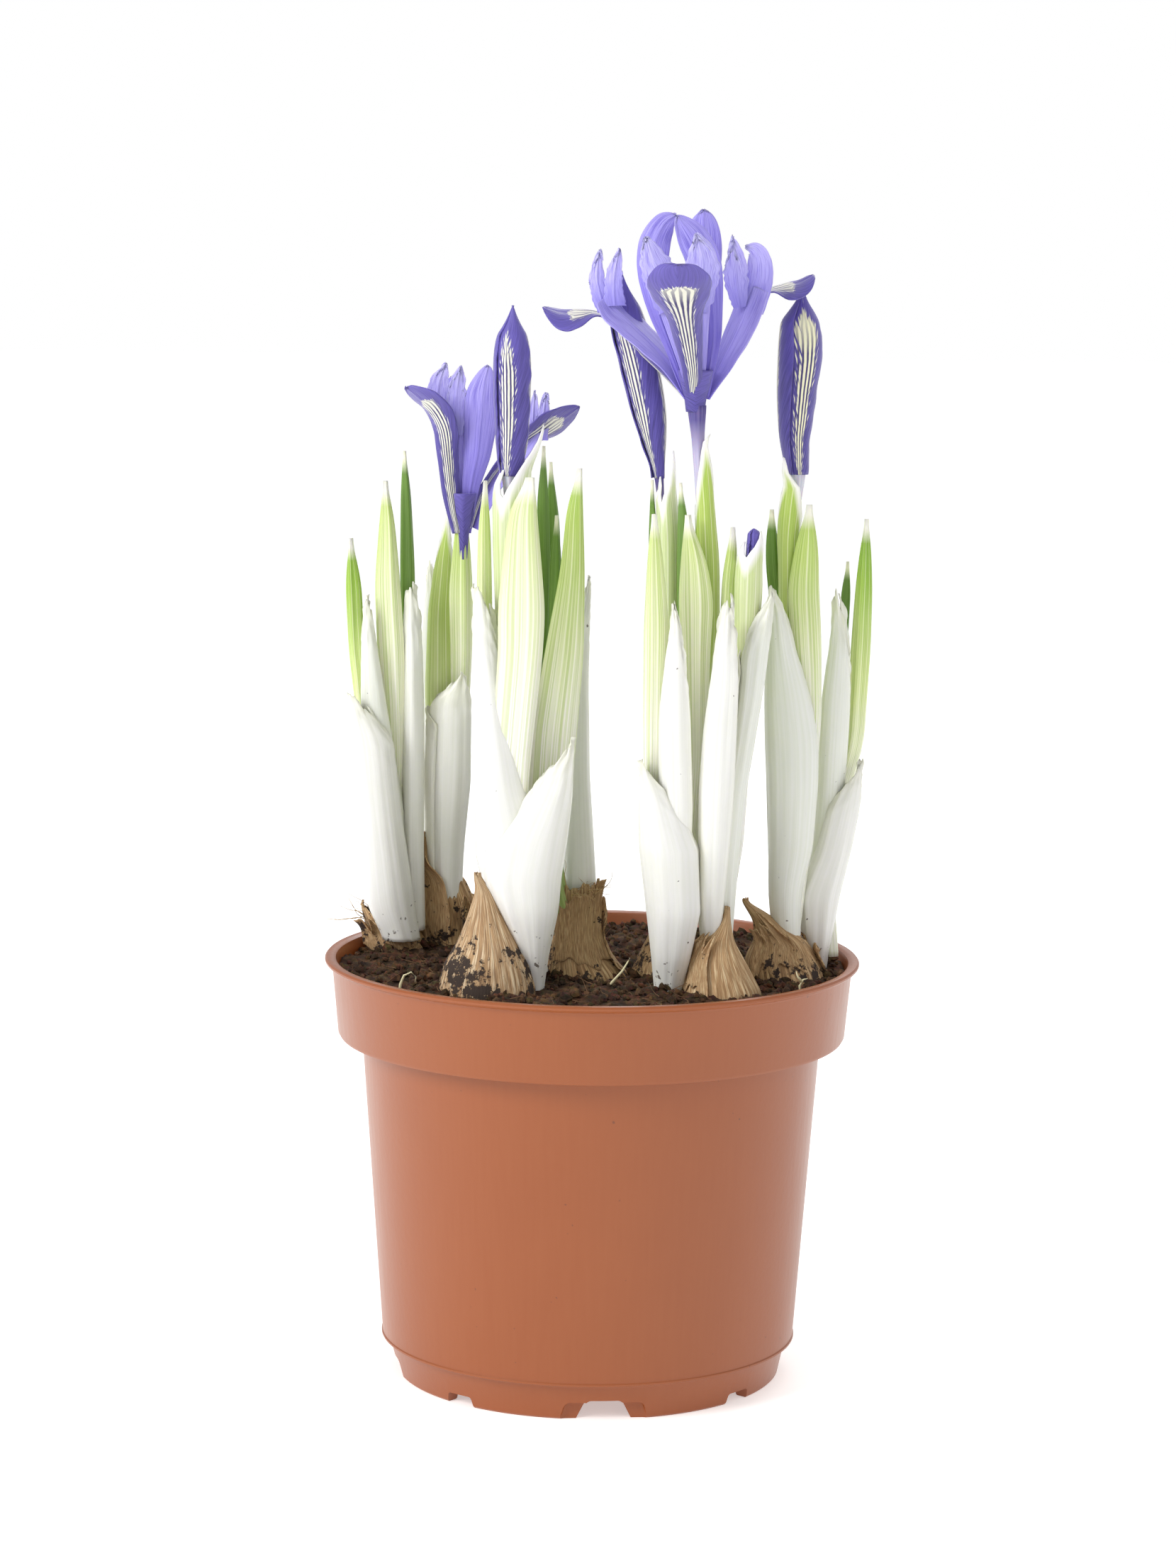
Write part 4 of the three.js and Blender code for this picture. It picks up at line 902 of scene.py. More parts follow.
# bract: its skin, points of its mouth (angle, mm of fall per degree, mm below the top), depth
# of the mouth, half its least width
BRACTS = {
    "bract_1": (green_bract, [(30, 0.16, 0), (-150, 0.2, 8)], 16, 1.7),
    "bract_2": (papery_bract, [(50, 0.16, 0), (-60, 0.2, 5)], 16, 1.9),
    "bract_3": (green_bract, [(-20, 0.16, 0), (160, 0.2, 6)], 14, 1.9),
    "bract_4": (papery_bract, [(70, 0.17, 0), (-70, 0.2, 8)], 22, 3.2),
    "bract_5": (green_bract, [(-10, 0.12, 0), (170, 0.2, 4)], 10, 1.6),
    "bract_6": (papery_bract, [(60, 0.08, 0), (-60, 0.1, 2)], 7, 1.6),
}
# the flower that comes out of each bract, and the height up to which the bract holds it
HELD_STALKS = {"bract_1": ("flower_1_tube", 212), "bract_2": ("flower_2", 200),
               "bract_3": ("flower_3", 202), "bract_4": ("flower_4", 204),
               "bract_6": ("flower_6", 186)}


def holding(node):
    """A bract's sections, deepened to take in the stalk of the flower that it holds."""
    rows = rooted(node)
    if node not in HELD_STALKS:
        return rows
    stalk, top = HELD_STALKS[node]
    inner = sections(stalk)
    for row in rows:
        if inner[0, 0] <= row[0] <= top:
            x, y, wide, deep = slice_at(inner, row[0])
            for middle, half, at, reach in ((1, 3, x, wide + 0.3), (2, 4, y, deep + 0.4)):
                low = min(row[middle] - row[half], at - reach)
                high = max(row[middle] + row[half], at + reach)
                row[middle], row[half] = (low + high) / 2, (high - low) / 2
    return rows


for number, (node, (skin, peaks, drop, least)) in enumerate(BRACTS.items()):
    rows = holding(node)
    bract = sheet(LEAF_COLUMNS, LEAF_ROWS, bract_shape(rows, number + 40, peaks, drop, least))
    thickened(bract, BRACT_THICKNESS)
    finish_piece(bract, node + "_spathe", [skin], [node])

# ---------------------------------------------------------------------------------------------
# Closed flowers. Buds of three falls rolled round each other over a slim tube: deep violet,
# with a cream signal striped in violet down the back of each fall. A fall is a sheet bent round
# the bud, one margin under its neighbour's and the other over it.
# ---------------------------------------------------------------------------------------------
BUD_THICKNESS = 0.3
BUD_FALL_COLUMNS = 32
BUD_FALL_ROWS = 56
# half the angle that a rolled fall wraps, and how far its outer margin stands off, in mm
BUD_FALL_SPAN = 84
BUD_FALL_LAP = 0.38


def fall_skin(name, signal, cream="#E3E2D2", rim="#54489F", deep="#382D78", stripes=6.0):
    """Back of a fall: violet, feathered into a cream signal that carries dark lines."""
    material, tree = new_material(name)
    place = add(tree, "TexCoord").outputs["UV"]
    across, along = add(tree, "SeparateXYZ", {0: place}).outputs[:2]
    side = maths(tree, "SUBTRACT", across, 0.5)
    away = maths(tree, "ABSOLUTE", side)
    slant = maths(tree, "SUBTRACT", maths(tree, "MULTIPLY", along, 34.0),
                  maths(tree, "MULTIPLY", away, 30.0))
    spot = add(tree, "CombineXYZ", {0: maths(tree, "MULTIPLY", side, 5.0), 1: slant}).outputs[0]
    feather = add(tree, "TexNoise", {0: spot, "Scale": 1.0, "Detail": 3.0}).outputs[0]
    half = ramp(tree, along, signal)
    inside = maths(tree, "SUBTRACT", maths(tree, "SUBTRACT", half, away), 0.02)
    ragged = maths(tree, "MULTIPLY", maths(tree, "SUBTRACT", feather, 0.5), 0.5)
    mask = ramp(tree, maths(tree, "ADD", inside, ragged), [(0.0, 0.0), (0.05, 1.0)])
    mask = maths(tree, "MULTIPLY", mask, ramp(tree, half, [(0.0, 0.0), (0.04, 1.0)]))
    lines = maths(tree, "DIVIDE", side, maths(tree, "ADD", half, 0.03))
    blur = add(tree, "TexNoise", {0: place, "Scale": 14.0, "Detail": 4.0}).outputs[0]
    lines = maths(tree, "ADD", maths(tree, "MULTIPLY", lines, stripes * 3.3),
                  maths(tree, "MULTIPLY", blur, 1.6))
    stripe = add(tree, "MapRange", {0: maths(tree, "SINE", lines), 1: -0.3, 2: 0.5}).outputs[0]
    stripe = maths(tree, "MULTIPLY", stripe, ramp(tree, along, [(0.66, 1.0), (0.84, 0.2)]))
    veins = ramp(tree, feather, [(0.35, 0.0), (0.62, 1.0)])
    violet = mixed(tree, veins, linear(deep), linear(rim))
    light = ramp(tree, along, [(0.25, 0.0), (0.95, 0.30)])
    violet = mixed(tree, light, violet, linear("#7A6DCB"))
    creamy = mixed(tree, stripe, linear(cream), linear("#352B66"))
    colour = mixed(tree, mask, violet, creamy)
    return surfaced(material, colour, 0.5, (0.35, 0.3, feather), {"Subsurface Weight": 0.15,
        "Subsurface Radius": (0.5, 0.3, 1.0), "Subsurface Scale": 0.001, "Sheen Weight": 0.25})


def tube_skin(name, low, high, throat_from, throat_to):
    """Perianth tube: near white and translucent, dark violet where it widens to the flower."""
    material, tree = new_material(name)
    place = add(tree, "TexCoord").outputs
    height = add(tree, "SeparateXYZ", {0: place["Object"]}).outputs[2]
    grow = add(tree, "MapRange", {0: height, 1: throat_from, 2: throat_to}).outputs[0]
    lines = add(tree, "Mapping", {0: place["UV"], "Scale": (16, 0.8, 1)}).outputs[0]
    vein = add(tree, "TexNoise", {0: lines, "Scale": 1.4, "Detail": 3}).outputs[0]
    colour = ramp(tree, grow, [(0.0, low), (0.6, high), (0.82, "#4B3F86"), (1.0, "#3D3273")])
    colour = mixed(tree, ramp(tree, vein, [(0.42, 0.35), (0.58, 0.0)]), colour, linear("#8C82B5"))
    return surfaced(material, colour, 0.4, None, {"Subsurface Weight": 0.4,
        "Subsurface Scale": 0.0015})


def tube_shape(rows, bottom, top, extra=0.0):
    """A slim tube with six faint ribs; extra is how far it stands off its sections, in mm."""
    def shape(across, along):
        turn = math.radians(-180 + 360 * across)
        height = bottom + (top - bottom) * along
        x, y, wide, deep = slice_at(rows, height)
        ridge = extra + 0.06 * math.cos(6 * turn)
        return around(x, y, wide + ridge, deep + ridge, turn, height)
    return shape


def rolled_fall_shape(rows, seed, neck, middle):
    """One of a bud's falls, from its neck to the point, its margins slightly waved."""
    def shape(across, along):
        angle = middle + BUD_FALL_SPAN * (2 * across - 1)
        turn = math.radians(angle)
        height = neck + (rows[-1, 0] + 0.3 - neck) * along
        x, y, wide, deep = slice_at(rows, height)
        margin = abs(2 * across - 1) ** 5
        wave = margin * 0.75 * rough_line(along * 9, across * 3, seed)
        keel = 0.25 * math.exp(-((across - 0.5) / 0.04) ** 2)
        away = BUD_FALL_LAP * (2 * across - 1) + wave + keel * math.sin(math.pi * along)
        away *= min(1, (1 - along) * 9 + 0.05)
        turn += 0.12 * math.sin(math.pi * along)
        point = min(1, (1 - along) / 0.17) ** 0.62
        wide, deep = max(wide, 1.2) * point, max(deep, 1.2) * point
        return around(x, y, wide + away, deep + away, turn, height)
    return shape


CLOSED_SIGNAL = [(0.0, 0.12), (0.3, 0.19), (0.62, 0.19), (0.80, 0.09), (0.88, 0.0)]
WIDE_SIGNAL = [(0.0, 0.12), (0.3, 0.17), (0.62, 0.20), (0.80, 0.25), (0.92, 0.02)]
closed_fall = fall_skin("closed_fall", CLOSED_SIGNAL)
opening_fall = fall_skin("opening_fall", WIDE_SIGNAL, cream="#EBE8C6")
plain_fall = fall_skin("young_fall", [(0.0, 0.0), (1.0, 0.0)])
dark_tube = tube_skin("violet_tube", "#EDEAE6", "#8E83B0", 0.180, 0.207)
white_tube = tube_skin("white_tube", "#F3F2EC", "#D9D5DC", 0.180, 0.216)
# flower: skin of its falls and of its tube, height of its neck, angle of its first fall
CLOSED_FLOWERS = {
    "flower_2": (closed_fall, dark_tube, 203.0, -38),
    "flower_3": (opening_fall, white_tube, 203.5, 12),
    "flower_4": (closed_fall, white_tube, 203.5, -24),
    "flower_6": (plain_fall, white_tube, 186.0, 0),
}
for number, (node, (skin, tube, neck, middle)) in enumerate(CLOSED_FLOWERS.items()):
    rows = sections(node)
    bottom = rows[0, 0]
    stem = sheet(24, 40, tube_shape(rows, bottom, neck + 3, -0.15))
    thickened(stem, BUD_THICKNESS)
    finish_piece(stem, node + "_stalk", [tube], [node])
    for i, turn in enumerate([0, 120, 240]):
        fall = sheet(BUD_FALL_COLUMNS, BUD_FALL_ROWS, rolled_fall_shape(
            rows, number * 3 + i, neck, middle + turn))
        thickened(fall, BUD_THICKNESS)
        finish_piece(fall, f"{node}_fall_{i + 1}", [skin])

# ---------------------------------------------------------------------------------------------
# Open flowers. Two irises, each with three falls that reach out and down, style arms over them
# that end in frilled, upright crests, and upright standards, three of each on the first and two
# of each on the second. Every petal is a ribbon along a path, arched across its width, with its
# own thickness and a rounded or torn end.
# ---------------------------------------------------------------------------------------------
PETAL_COLUMNS = 28
PETAL_ROWS = 48
PETAL_THICKNESS = 0.28
THROAT_THICKNESS = 0.3


def fall_face():
    """Upper face of a fall: violet, with an orange-yellow ridge between white, spotted bands."""
    material, tree = new_material("fall_upper_face")
    place = add(tree, "TexCoord").outputs["UV"]
    across, along = add(tree, "SeparateXYZ", {0: place}).outputs[:2]
    away = maths(tree, "ABSOLUTE", maths(tree, "SUBTRACT", across, 0.5))
    drawn = add(tree, "Mapping", {0: place, "Scale": (34, 5, 1)}).outputs[0]
    vein = add(tree, "TexNoise", {0: drawn, "Scale": 1.2, "Detail": 3}).outputs[0]
    colour = mixed(tree, vein, linear("#41378A"), linear("#6A5DBE"))
    reach = ramp(tree, along, [(0.30, 0.0), (0.45, 1.0), (0.70, 1.0), (0.84, 0.0)])
    spots = add(tree, "TexNoise", {0: place, "Scale": 46, "Detail": 2}).outputs[0]
    white = maths(tree, "MULTIPLY", ramp(tree, away, [(0.10, 1.0), (0.15, 0.0)]), reach)
    white = maths(tree, "MULTIPLY", white, ramp(tree, spots, [(0.42, 0.0), (0.50, 1.0)]))
    colour = mixed(tree, white, colour, linear("#F1EFE6"))
    ridge = maths(tree, "MULTIPLY", ramp(tree, away, [(0.035, 1.0), (0.06, 0.0)]), reach)
    colour = mixed(tree, ridge, colour, linear("#EBB52B"))
    return surfaced(material, colour, 0.5, (0.3, 0.3, vein), {"Sheen Weight": 0.25})


def petal_skin(name, base, middle, tip, vein_tone):
    """Standard, style arm or crest: lilac, deeper at its base, with fine branching veins."""
    material, tree = new_material(name)
    place = add(tree, "TexCoord").outputs["UV"]
    along = add(tree, "SeparateXYZ", {0: place}).outputs[1]
    drawn = add(tree, "Mapping", {0: place, "Scale": (30, 2.4, 1)}).outputs[0]
    vein = add(tree, "TexNoise", {0: drawn, "Scale": 1.3, "Detail": 4, "Roughness": 0.6}).outputs[0]
    drift = maths(tree, "ADD", along, maths(tree, "MULTIPLY", vein, 0.22))
    colour = ramp(tree, drift, [(0.12, base), (0.55, middle), (1.08, tip)])
    share = ramp(tree, vein, [(0.38, 0.75), (0.54, 0.0)])
    colour = mixed(tree, share, colour, linear(vein_tone))
    return surfaced(material, colour, 0.45, (0.4, 0.3, vein), {"Subsurface Weight": 0.3,
        "Subsurface Radius": (0.7, 0.6, 1.0), "Subsurface Scale": 0.0015, "Sheen Weight": 0.2})


def eased(rows, along):
    """The row at a share of the way along, on a smooth curve through all the rows."""
    place = along * (len(rows) - 1)
    i = min(int(place), len(rows) - 2)
    t = place - i
    before, start = rows[max(i - 1, 0)], rows[i]
    end, after = rows[i + 1], rows[min(i + 2, len(rows) - 1)]
    squared = 2 * before - 5 * start + 4 * end - after
    cubed = 3 * start - before - 3 * end + after
    return 0.5 * (2 * start + (end - before) * t + squared * t ** 2 + cubed * t ** 3)


def ribbon_shape(rows, seed, round_from, frill, wave):
    """A petal along rows of x, y, z, width, heading and rise of its width, and half its arch."""
    rows = np.array(rows, dtype=float)

    def shape(across, along):
        side = 2 * across - 1
        torn = frill * (abs(rough_line(across * 5, 0, seed)) * 0.22
                        + abs(rough_line(across * 13, 3, seed)) * 0.10)
        share = along * (1 - torn)
        here = eased(rows, share)
        onward = eased(rows, min(share + 0.02, 1)) - eased(rows, max(share - 0.02, 0))
        tangent = Vector(onward[:3]).normalized()
        heading, rise = math.radians(here[4]), math.radians(here[5])
        aside = Vector((math.cos(heading) * math.cos(rise), math.sin(heading) * math.cos(rise),
                        math.sin(rise)))
        aside = (aside - tangent * aside.dot(tangent)).normalized()
        normal = aside.cross(tangent)
        width = max(here[3], 0.3)
        if along > round_from:
            end = (along - round_from) / (1 - round_from)
            width *= max(math.sqrt(max(1 - end * end, 0)), 0.06)
        width *= 1 + frill * 0.16 * rough_line(along * 15, side * 0.6, seed) * abs(side)
        arch = math.radians(here[6])
        if abs(arch) > 0.01:
            radius = width / 2 / arch
            out, back = radius * math.sin(side * arch), radius * (1 - math.cos(side * arch))
        else:
            out, back = width / 2 * side, 0
        ripple = wave * (abs(side) ** 3 * rough_line(along * 7, side, seed)
                         + 0.3 * rough_line(along * 4, side * 2, seed + 1))
        keel = 0.18 * math.exp(-(side / 0.12) ** 2)
        return Vector(here[:3]) + aside * out + normal * (ripple + keel - back)
    return shape


def petal(name, rows, skins, round_from, frill, wave, seed):
    """A petal along its rows; with two skins, the first is its back and the second its face."""
    piece = sheet(PETAL_COLUMNS, PETAL_ROWS, ribbon_shape(rows, seed, round_from, frill, wave))
    thickened(piece, PETAL_THICKNESS, len(skins) - 1)
    return finish_piece(piece, name, skins)


OPEN_SIGNAL = [(0.0, 0.24), (0.35, 0.26), (0.60, 0.27), (0.76, 0.34), (0.83, 0.0)]
fall_back = fall_skin("fall_back", OPEN_SIGNAL)
fall_top = fall_face()
standard_skin = petal_skin("standard", "#6153B4", "#9087D8", "#AAA3E8", "#6D61C0")
style_skin = petal_skin("style_arm", "#7366C3", "#A39BE3", "#A79FE6", "#7F75CD")
crest_skin = petal_skin("crest", "#9088DC", "#ADA7EC", "#C3BEF5", "#8379D2")

# Flower 1, the large one: falls left, front and right, arms over them, standards between.
FLOWER_1_FALLS = {
    "left": [(19.5, -14, 220, 3.5, -90, 0, 40), (14, -11, 225.5, 4, -90, 0, 40),
             (8, -8.5, 231, 4.5, -90, 0, 35), (3, -7, 236, 5, -90, 0, 10),
             (-0.5, -6, 238.6, 7, -90, -8, -15), (-4.5, -5.5, 238.7, 12, -90, -18, -35),
             (-8.5, -5, 238.7, 13, -90, -20, -38), (-12.6, -5, 239.8, 9, -90, -18, -30)],
    "right": [(22.5, -13, 220, 3.5, 90, 0, 40), (26.5, -9, 226.5, 4, 90, 0, 40),
              (30.5, -5.5, 233.5, 4.5, 90, 0, 35), (34, -3, 239.8, 5, 90, 0, 10),
              (36.7, -1.5, 243.6, 7, 90, 8, -15), (40.5, -0.5, 244.8, 12, 90, 16, -32),
              (43.8, 0, 245.7, 12, 90, 18, -32), (46.8, 0.5, 247.4, 8, 90, 18, -25)],
    "front": [(20.7, -16.5, 220, 3.4, 0, 0, 50), (20.0, -20.5, 227, 5, 0, 0, 50),
              (18.9, -26, 233.5, 7.2, 0, 0, 50), (17.9, -31.5, 238.3, 8.8, 0, 0, 42),
              (17.0, -36.5, 242.3, 13.2, 0, 0, 35), (16.3, -41.5, 246.2, 15.2, 0, 0, 35),
              (15.8, -45.5, 250.4, 14, 0, 0, 35)],
}
for number, (way, rows) in enumerate(FLOWER_1_FALLS.items()):
    fall = petal(f"flower_1_fall_{way}_petal", rows, [fall_back, fall_top], 0.72, 0.15, 0.5,
                 number + 50)
    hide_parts(f"flower_1_fall_{way}")

FLOWER_1_ARMS = {
    "left": [(19.6, -15, 221, 3.2, 64, 27, 10), (15.6, -12.5, 228, 6.5, 64, 27, 12),
             (11.5, -11, 232.6, 8.5, 64, 27, 12), (7, -10, 236.6, 9.2, 64, 27, 12),
             (3.2, -9.5, 240.0, 9, 60, 30, 10), (1.2, -9.2, 242.5, 6.5, 50, 20, 5)],
    "right": [(22.6, -15, 221, 3.2, -53, -17, 10), (26.2, -12, 228, 6.5, -53, -17, 12),
              (29.5, -10.5, 234.5, 8.5, -53, -17, 12), (32, -9.5, 240.5, 9, -53, -17, 12),
              (33.6, -9.2, 245, 7.5, -40, -10, 8)],
    "front": [(20.9, -17, 221, 3.2, 0, 0, 20), (20, -19, 229, 6.5, 0, 0, 20),
              (18.8, -21, 236.5, 9.5, 0, 0, 15), (17.8, -22.3, 243, 12, 0, 0, 10),
              (17.2, -23, 248, 12, 0, 0, 5)],
}
for number, (way, rows) in enumerate(FLOWER_1_ARMS.items()):
    arm = petal(f"flower_1_arm_{way}", rows, [style_skin], 0.97, 0.0, 0.3, number + 60)
    if way == "front":
        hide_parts("flower_1_crown")

# crest: rows, how frilled it is
FLOWER_1_CRESTS = {
    "left_outer": ([(1.2, -9.5, 239.5, 3.6, 0, 0, 15), (-0.2, -9, 243.5, 3.8, 0, 0, 15),
                    (-0.8, -9, 247.5, 3.2, 0, 0, 15), (-0.2, -8.5, 252.8, 1.6, 0, 0, 5)], 1.5),
    "left_inner": ([(3.2, -10.5, 240.5, 5, 0, 0, 15), (2.9, -10.5, 244.5, 4, 0, 0, 15),
                    (3.1, -10.3, 248.2, 3.4, 0, 0, 15), (4.1, -10, 253, 1.4, 0, 0, 5)], 1.5),
    "right_outer": ([(32.5, -9, 240, 6.5, 0, -15, 15), (34.2, -9, 245, 6.4, 0, -5, 20),
                     (34.7, -8.5, 249.6, 5.6, 0, 10, 20), (33.6, -8, 252.8, 4.2, 0, 45, 15),
                     (31.4, -8, 253.6, 2, 0, 75, 10)], 0.5),
    "right_inner": ([(30.4, -10, 240.5, 3, 0, 0, 10), (29.7, -10, 245, 4.8, 0, 0, 15),
                     (29.2, -10, 250, 5.4, 0, 0, 15), (28.6, -9.5, 256.4, 2.6, 0, 0, 5)], 1.8),
    "front_left": ([(15.5, -22, 240, 6, 0, 0, 15), (13.2, -23.5, 246, 7.6, 0, 0, 20),
                    (11.4, -24, 250.5, 6.6, 0, -10, 20), (9.6, -24, 255.8, 3, 0, -10, 10)], 1.6),
    "front_right": ([(20, -22, 240, 6, 0, 0, 15), (21.4, -23.5, 246, 7.6, 0, 0, 20),
                     (21.6, -24, 251.5, 6.8, 0, 0, 20), (20.2, -24, 257, 3, 0, 0, 10)], 1.6),
}
for number, (way, (rows, frill)) in enumerate(FLOWER_1_CRESTS.items()):
    petal(f"flower_1_crest_{way}", rows, [crest_skin], 0.6, frill * 0.65, 0.35, number + 70)

FLOWER_1_STANDARDS = {
    "left": [(19.5, -15.5, 221, 1.8, 0, 0, 10), (15.8, -16.5, 231, 2.8, 0, 10, 15),
             (12.4, -17, 240, 4.4, 0, 5, 20), (11.2, -17, 248, 6.8, 0, 0, 30),
             (11.6, -16, 254, 7.2, 0, -20, 30), (13.6, -15, 258.4, 5.4, 0, -40, 25),
             (16.2, -14.5, 260.4, 2.4, 0, -55, 10)],
    "right": [(22.8, -16, 221, 2, 0, 0, 10), (24.5, -17, 233, 3, 0, -5, 15),
              (24.1, -17.5, 242, 5, 0, 5, 25), (22.5, -18, 249.5, 7.6, 0, 25, 30),
              (19.9, -18, 255.2, 7.2, 0, 35, 30), (16.2, -18, 260.2, 3, 0, 40, 10)],
    "back": [(21.5, -12, 221, 2, 0, 0, 10), (22.6, -8, 235, 4, 0, 0, 15),
             (22.6, -5.5, 246, 7, 0, 0, 30), (22.4, -5, 254, 8.4, 0, 0, 30),
             (22.2, -6, 261.6, 5, 0, 0, 20)],
}
for number, (way, rows) in enumerate(FLOWER_1_STANDARDS.items()):
    petal(f"flower_1_standard_{way}", rows, [standard_skin], 0.84, 0.15, 0.7, number + 80)

tube_rows = sections("flower_1_tube")
flower_1_throat = tube_skin("lilac_tube", "#F1EFEC", "#B9B1CC", 0.188, 0.2225)
throat_rows = np.array([(218, 20.9, -15, 2.1, 2.1), (221, 20.9, -15, 2.5, 2.5),
                        (224, 20.9, -15.4, 3.3, 3.0), (228, 20.8, -15.8, 4.1, 3.6)])
throat = sheet(28, 20, tube_shape(throat_rows, 218, 227))
thickened(throat, THROAT_THICKNESS)
finish_piece(throat, "flower_1_throat", [plain_fall])
tube = sheet(28, 60, tube_shape(tube_rows, tube_rows[0, 0], tube_rows[-1, 0] + 0.5))
thickened(tube, THROAT_THICKNESS)
finish_piece(tube, "flower_1_stalk", [flower_1_throat], ["flower_1_tube"])

# Flower 5, the smaller one behind the second shoot.
throat_rows = np.array([(182, -30.3, 21, 0.9, 0.9), (188, -30.3, 21, 1.3, 1.3),
                        (193, -30.5, 21, 2.1, 1.9), (198, -30.4, 21.2, 3.2, 2.4)])
throat = sheet(28, 24, tube_shape(throat_rows, 182, 197))
thickened(throat, THROAT_THICKNESS)
finish_piece(throat, "flower_5_throat", [plain_fall])
FLOWER_5_FALLS = {
    "left": [(-31.6, 20, 188, 3, 0, 0, 50), (-33.2, 19.5, 197, 4.6, 0, 0, 50),
             (-34.1, 19, 205, 5.4, -8, 0, 45), (-35.0, 18.5, 211.5, 7, -28, 4, 35),
             (-37.2, 18, 215.8, 9.6, -52, 12, 25), (-40.2, 17.5, 218.4, 10.4, -62, 16, 20),
             (-43.4, 17, 221, 8, -62, 16, 15)],
    "right": [(-28.6, 21, 189, 3, 75, -17, 40), (-26, 22.5, 197, 4, 75, -17, 40),
              (-22, 23.5, 203, 5, 75, -17, 30), (-16.5, 24, 208.2, 8, 70, -20, 20),
              (-11.5, 24.3, 211.4, 11, 66, -24, 15), (-7.4, 24.5, 214.4, 9.5, 66, -24, 10),
              (-4.3, 24.5, 216.8, 5, 66, -24, 5)],
    "back": [(-30, 22, 189, 3, 180, 0, 40), (-30, 25.5, 198, 4.5, 180, 0, 40),
             (-30, 30, 205.5, 5.5, 180, 0, 30), (-30, 35, 210.5, 9.5, 180, 0, 0),
             (-30, 40.5, 212.5, 10.5, 180, 0, -25), (-30, 45, 212, 8, 180, 0, -25)],
}
for number, (way, rows) in enumerate(FLOWER_5_FALLS.items()):
    fall = petal(f"flower_5_fall_{way}", rows, [fall_back, fall_top], 0.72, 0.15, 0.5, number + 90)
    if way == "left":
        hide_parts("flower_5_falls")

FLOWER_5_UPPER = {
    "arm_left": ([(-30.6, 21.5, 189, 2.6, 0, 0, 20), (-31.4, 21.5, 200, 5, 0, 0, 20),
                  (-32.6, 21.5, 208, 7, 0, 0, 15), (-33.4, 21.3, 215, 8, 0, 0, 10)], 0.0),
    "arm_right": ([(-28, 22, 189, 2.6, -50, -17, 10), (-23.5, 23, 199, 5, -50, -17, 12),
                   (-18.5, 23.5, 206, 6, -50, -17, 12), (-14, 24, 211.5, 5, -40, -17, 8)], 0.0),
    "crest_outer": ([(-34.8, 21, 212, 3.6, 0, 0, 15), (-36.2, 21, 218, 4.8, 0, 0, 15),
                     (-36.1, 21, 222, 4.4, 0, 10, 15), (-34.4, 21, 226.6, 2, 0, 20, 5)], 1.6),
    "crest_inner": ([(-32.3, 20.8, 210, 3.6, 0, 0, 15), (-32.3, 20.8, 216.5, 4.8, 0, 0, 15),
                     (-32, 20.8, 221, 4, 0, 0, 15), (-31.2, 20.8, 226, 1.6, 0, 0, 5)], 1.6),
    "crest_right_1": ([(-14.8, 23.8, 208, 2.6, 0, 0, 10), (-14.9, 23.8, 213.5, 2.8, 0, 0, 10),
                       (-14.5, 23.8, 220.5, 1.2, 0, 0, 5)], 1.6),
    "crest_right_2": ([(-12.8, 23.6, 209, 2.6, 0, 0, 10), (-12.6, 23.6, 214, 2.8, 0, 0, 10),
                       (-11.9, 23.6, 220, 1.2, 0, 0, 5)], 1.6),
    "standard_front": ([(-29.6, 20.6, 188, 2, 0, 0, 15), (-28.8, 20.5, 198, 4, 0, 0, 20),
                        (-27.4, 20.2, 206, 6.6, 0, 0, 30), (-26.7, 20, 214, 8, 0, 0, 30),
                        (-26.2, 20, 220.5, 7.4, 0, 5, 25), (-25.0, 20, 226, 4, 0, 10, 10)], 0.15),
    "standard_back": ([(-29.8, 23, 189, 2, 0, 0, 15), (-32, 26, 199, 4, 0, 0, 20),
                       (-33.5, 28, 209, 7, 0, 0, 30), (-34, 28.5, 217, 7, 0, 0, 25),
                       (-33, 28, 223, 4, 0, 0, 10)], 0.15),
}
for number, (way, (rows, frill)) in enumerate(FLOWER_5_UPPER.items()):
    skin = crest_skin if "crest" in way else style_skin if "arm" in way else standard_skin
    upper = petal(f"flower_5_{way}", rows, [skin], 0.7, frill * 0.65, 0.4, number + 100)
    if way == "standard_front":
        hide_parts("flower_5_crown")

# ---------------------------------------------------------------------------------------------
# Studio. A pale floor plane that also serves as the backdrop, large soft lights from the left and
# the front, and the camera at eye level with the plants.
# ---------------------------------------------------------------------------------------------
CAMERA_PLACE = Vector((-1.4, -926.8, 267.7)) * MM
CAMERA_DROP = 8.22
CAMERA_ROLL = 0.70
CAMERA_LENS = 96.1
ROOM_LIGHT = 0.64
PAPER_GLOW = 0.42

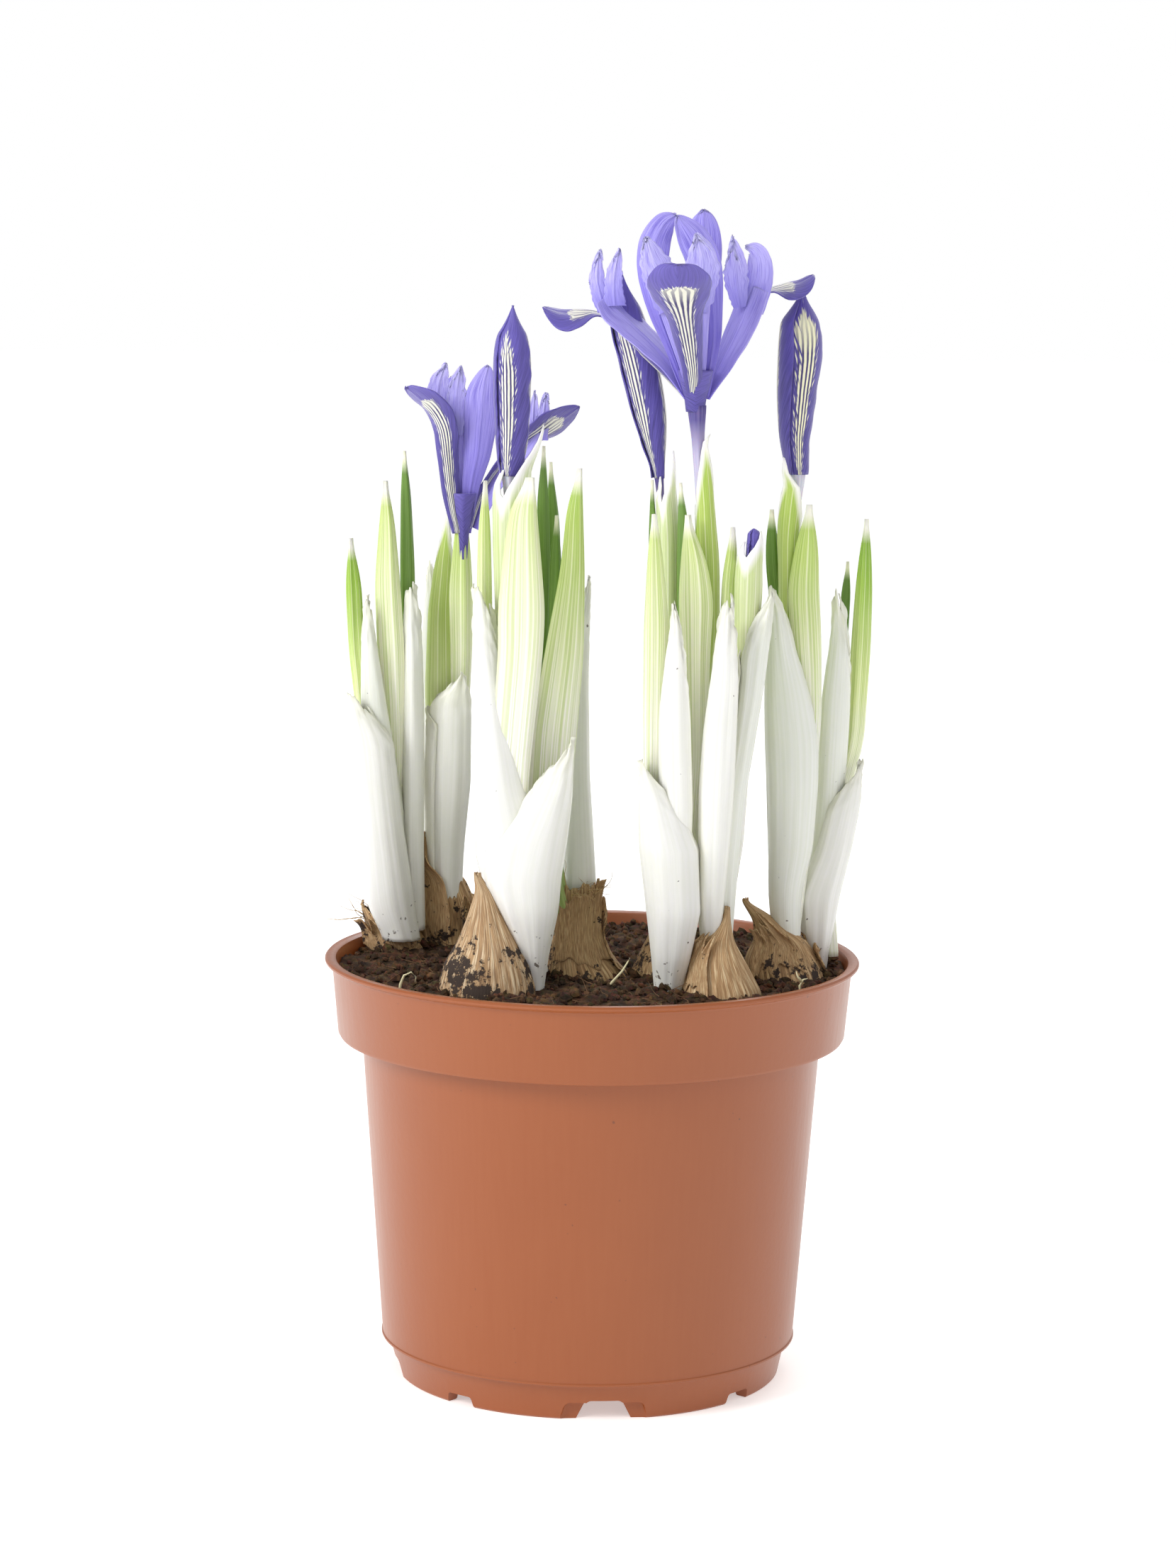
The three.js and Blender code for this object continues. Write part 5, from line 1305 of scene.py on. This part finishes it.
deselect()
bpy.ops.mesh.primitive_plane_add(size=8, location=(0, 1.5, 0))
floor = bpy.context.object
floor.name = "floor"
floor_material, floor_tree = new_material("pale_paper")
paper_grain = add(floor_tree, "TexNoise", {"Scale": 60, "Detail": 2}).outputs[0]
paper_colour = mixed(floor_tree, paper_grain, linear("#F4F4F3"), linear("#F9F9F8"))
paper = add(floor_tree, "BsdfPrincipled", {"Base Color": paper_colour, "Roughness": 0.9})
paper.inputs["Emission Color"].default_value = linear("#FFFFFF")
paper.inputs["Emission Strength"].default_value = PAPER_GLOW
add(floor_tree, "OutputMaterial", {0: paper.outputs[0]})
floor.data.materials.append(floor_material)
floor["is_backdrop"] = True

world = bpy.data.worlds.new("studio")
bpy.context.scene.world = world
world.use_nodes = True
world.node_tree.nodes.clear()
seen = add(world.node_tree, "LightPath").outputs["Is Camera Ray"]
sky = add(world.node_tree, "MapRange", {0: seen, 3: ROOM_LIGHT, 4: 1.0}).outputs[0]
room = add(world.node_tree, "Background", {0: linear("#FFFFFF"), 1: sky})
add(world.node_tree, "OutputWorld", {0: room.outputs[0]})


def soft_light(name, place, aim, size, power):
    """A square area light, its size in metres and its power in watts."""
    lamp = bpy.data.lights.new(name, "AREA")
    lamp.size = size
    lamp.energy = power
    light = bpy.data.objects.new(name, lamp)
    bpy.context.scene.collection.objects.link(light)
    light.location = place
    light.rotation_mode = "QUATERNION"
    light.rotation_quaternion = (Vector(aim) - Vector(place)).to_track_quat("-Z", "Y")
    return light


soft_light("key", (-1.0, -0.7, 0.8), (0, 0, 0.12), 0.6, 13)
soft_light("fill", (0.9, -0.7, 0.6), (0, 0, 0.12), 1.0, 1.5)
soft_light("back", (0.3, 0.9, 0.9), (0, 0, 0.15), 0.8, 5)

lens = bpy.data.cameras.new("camera")
lens.lens = CAMERA_LENS
lens.sensor_width = 36
lens.clip_start = 0.05
camera = bpy.data.objects.new("camera", lens)
bpy.context.scene.collection.objects.link(camera)
camera.location = CAMERA_PLACE
camera.rotation_mode = "QUATERNION"
camera.rotation_quaternion = (Quaternion((1, 0, 0), math.radians(90 - CAMERA_DROP))
                              @ Quaternion((0, 0, 1), math.radians(CAMERA_ROLL)))
bpy.context.scene.camera = camera
bpy.context.scene.view_settings.view_transform = "Standard"

low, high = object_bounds()
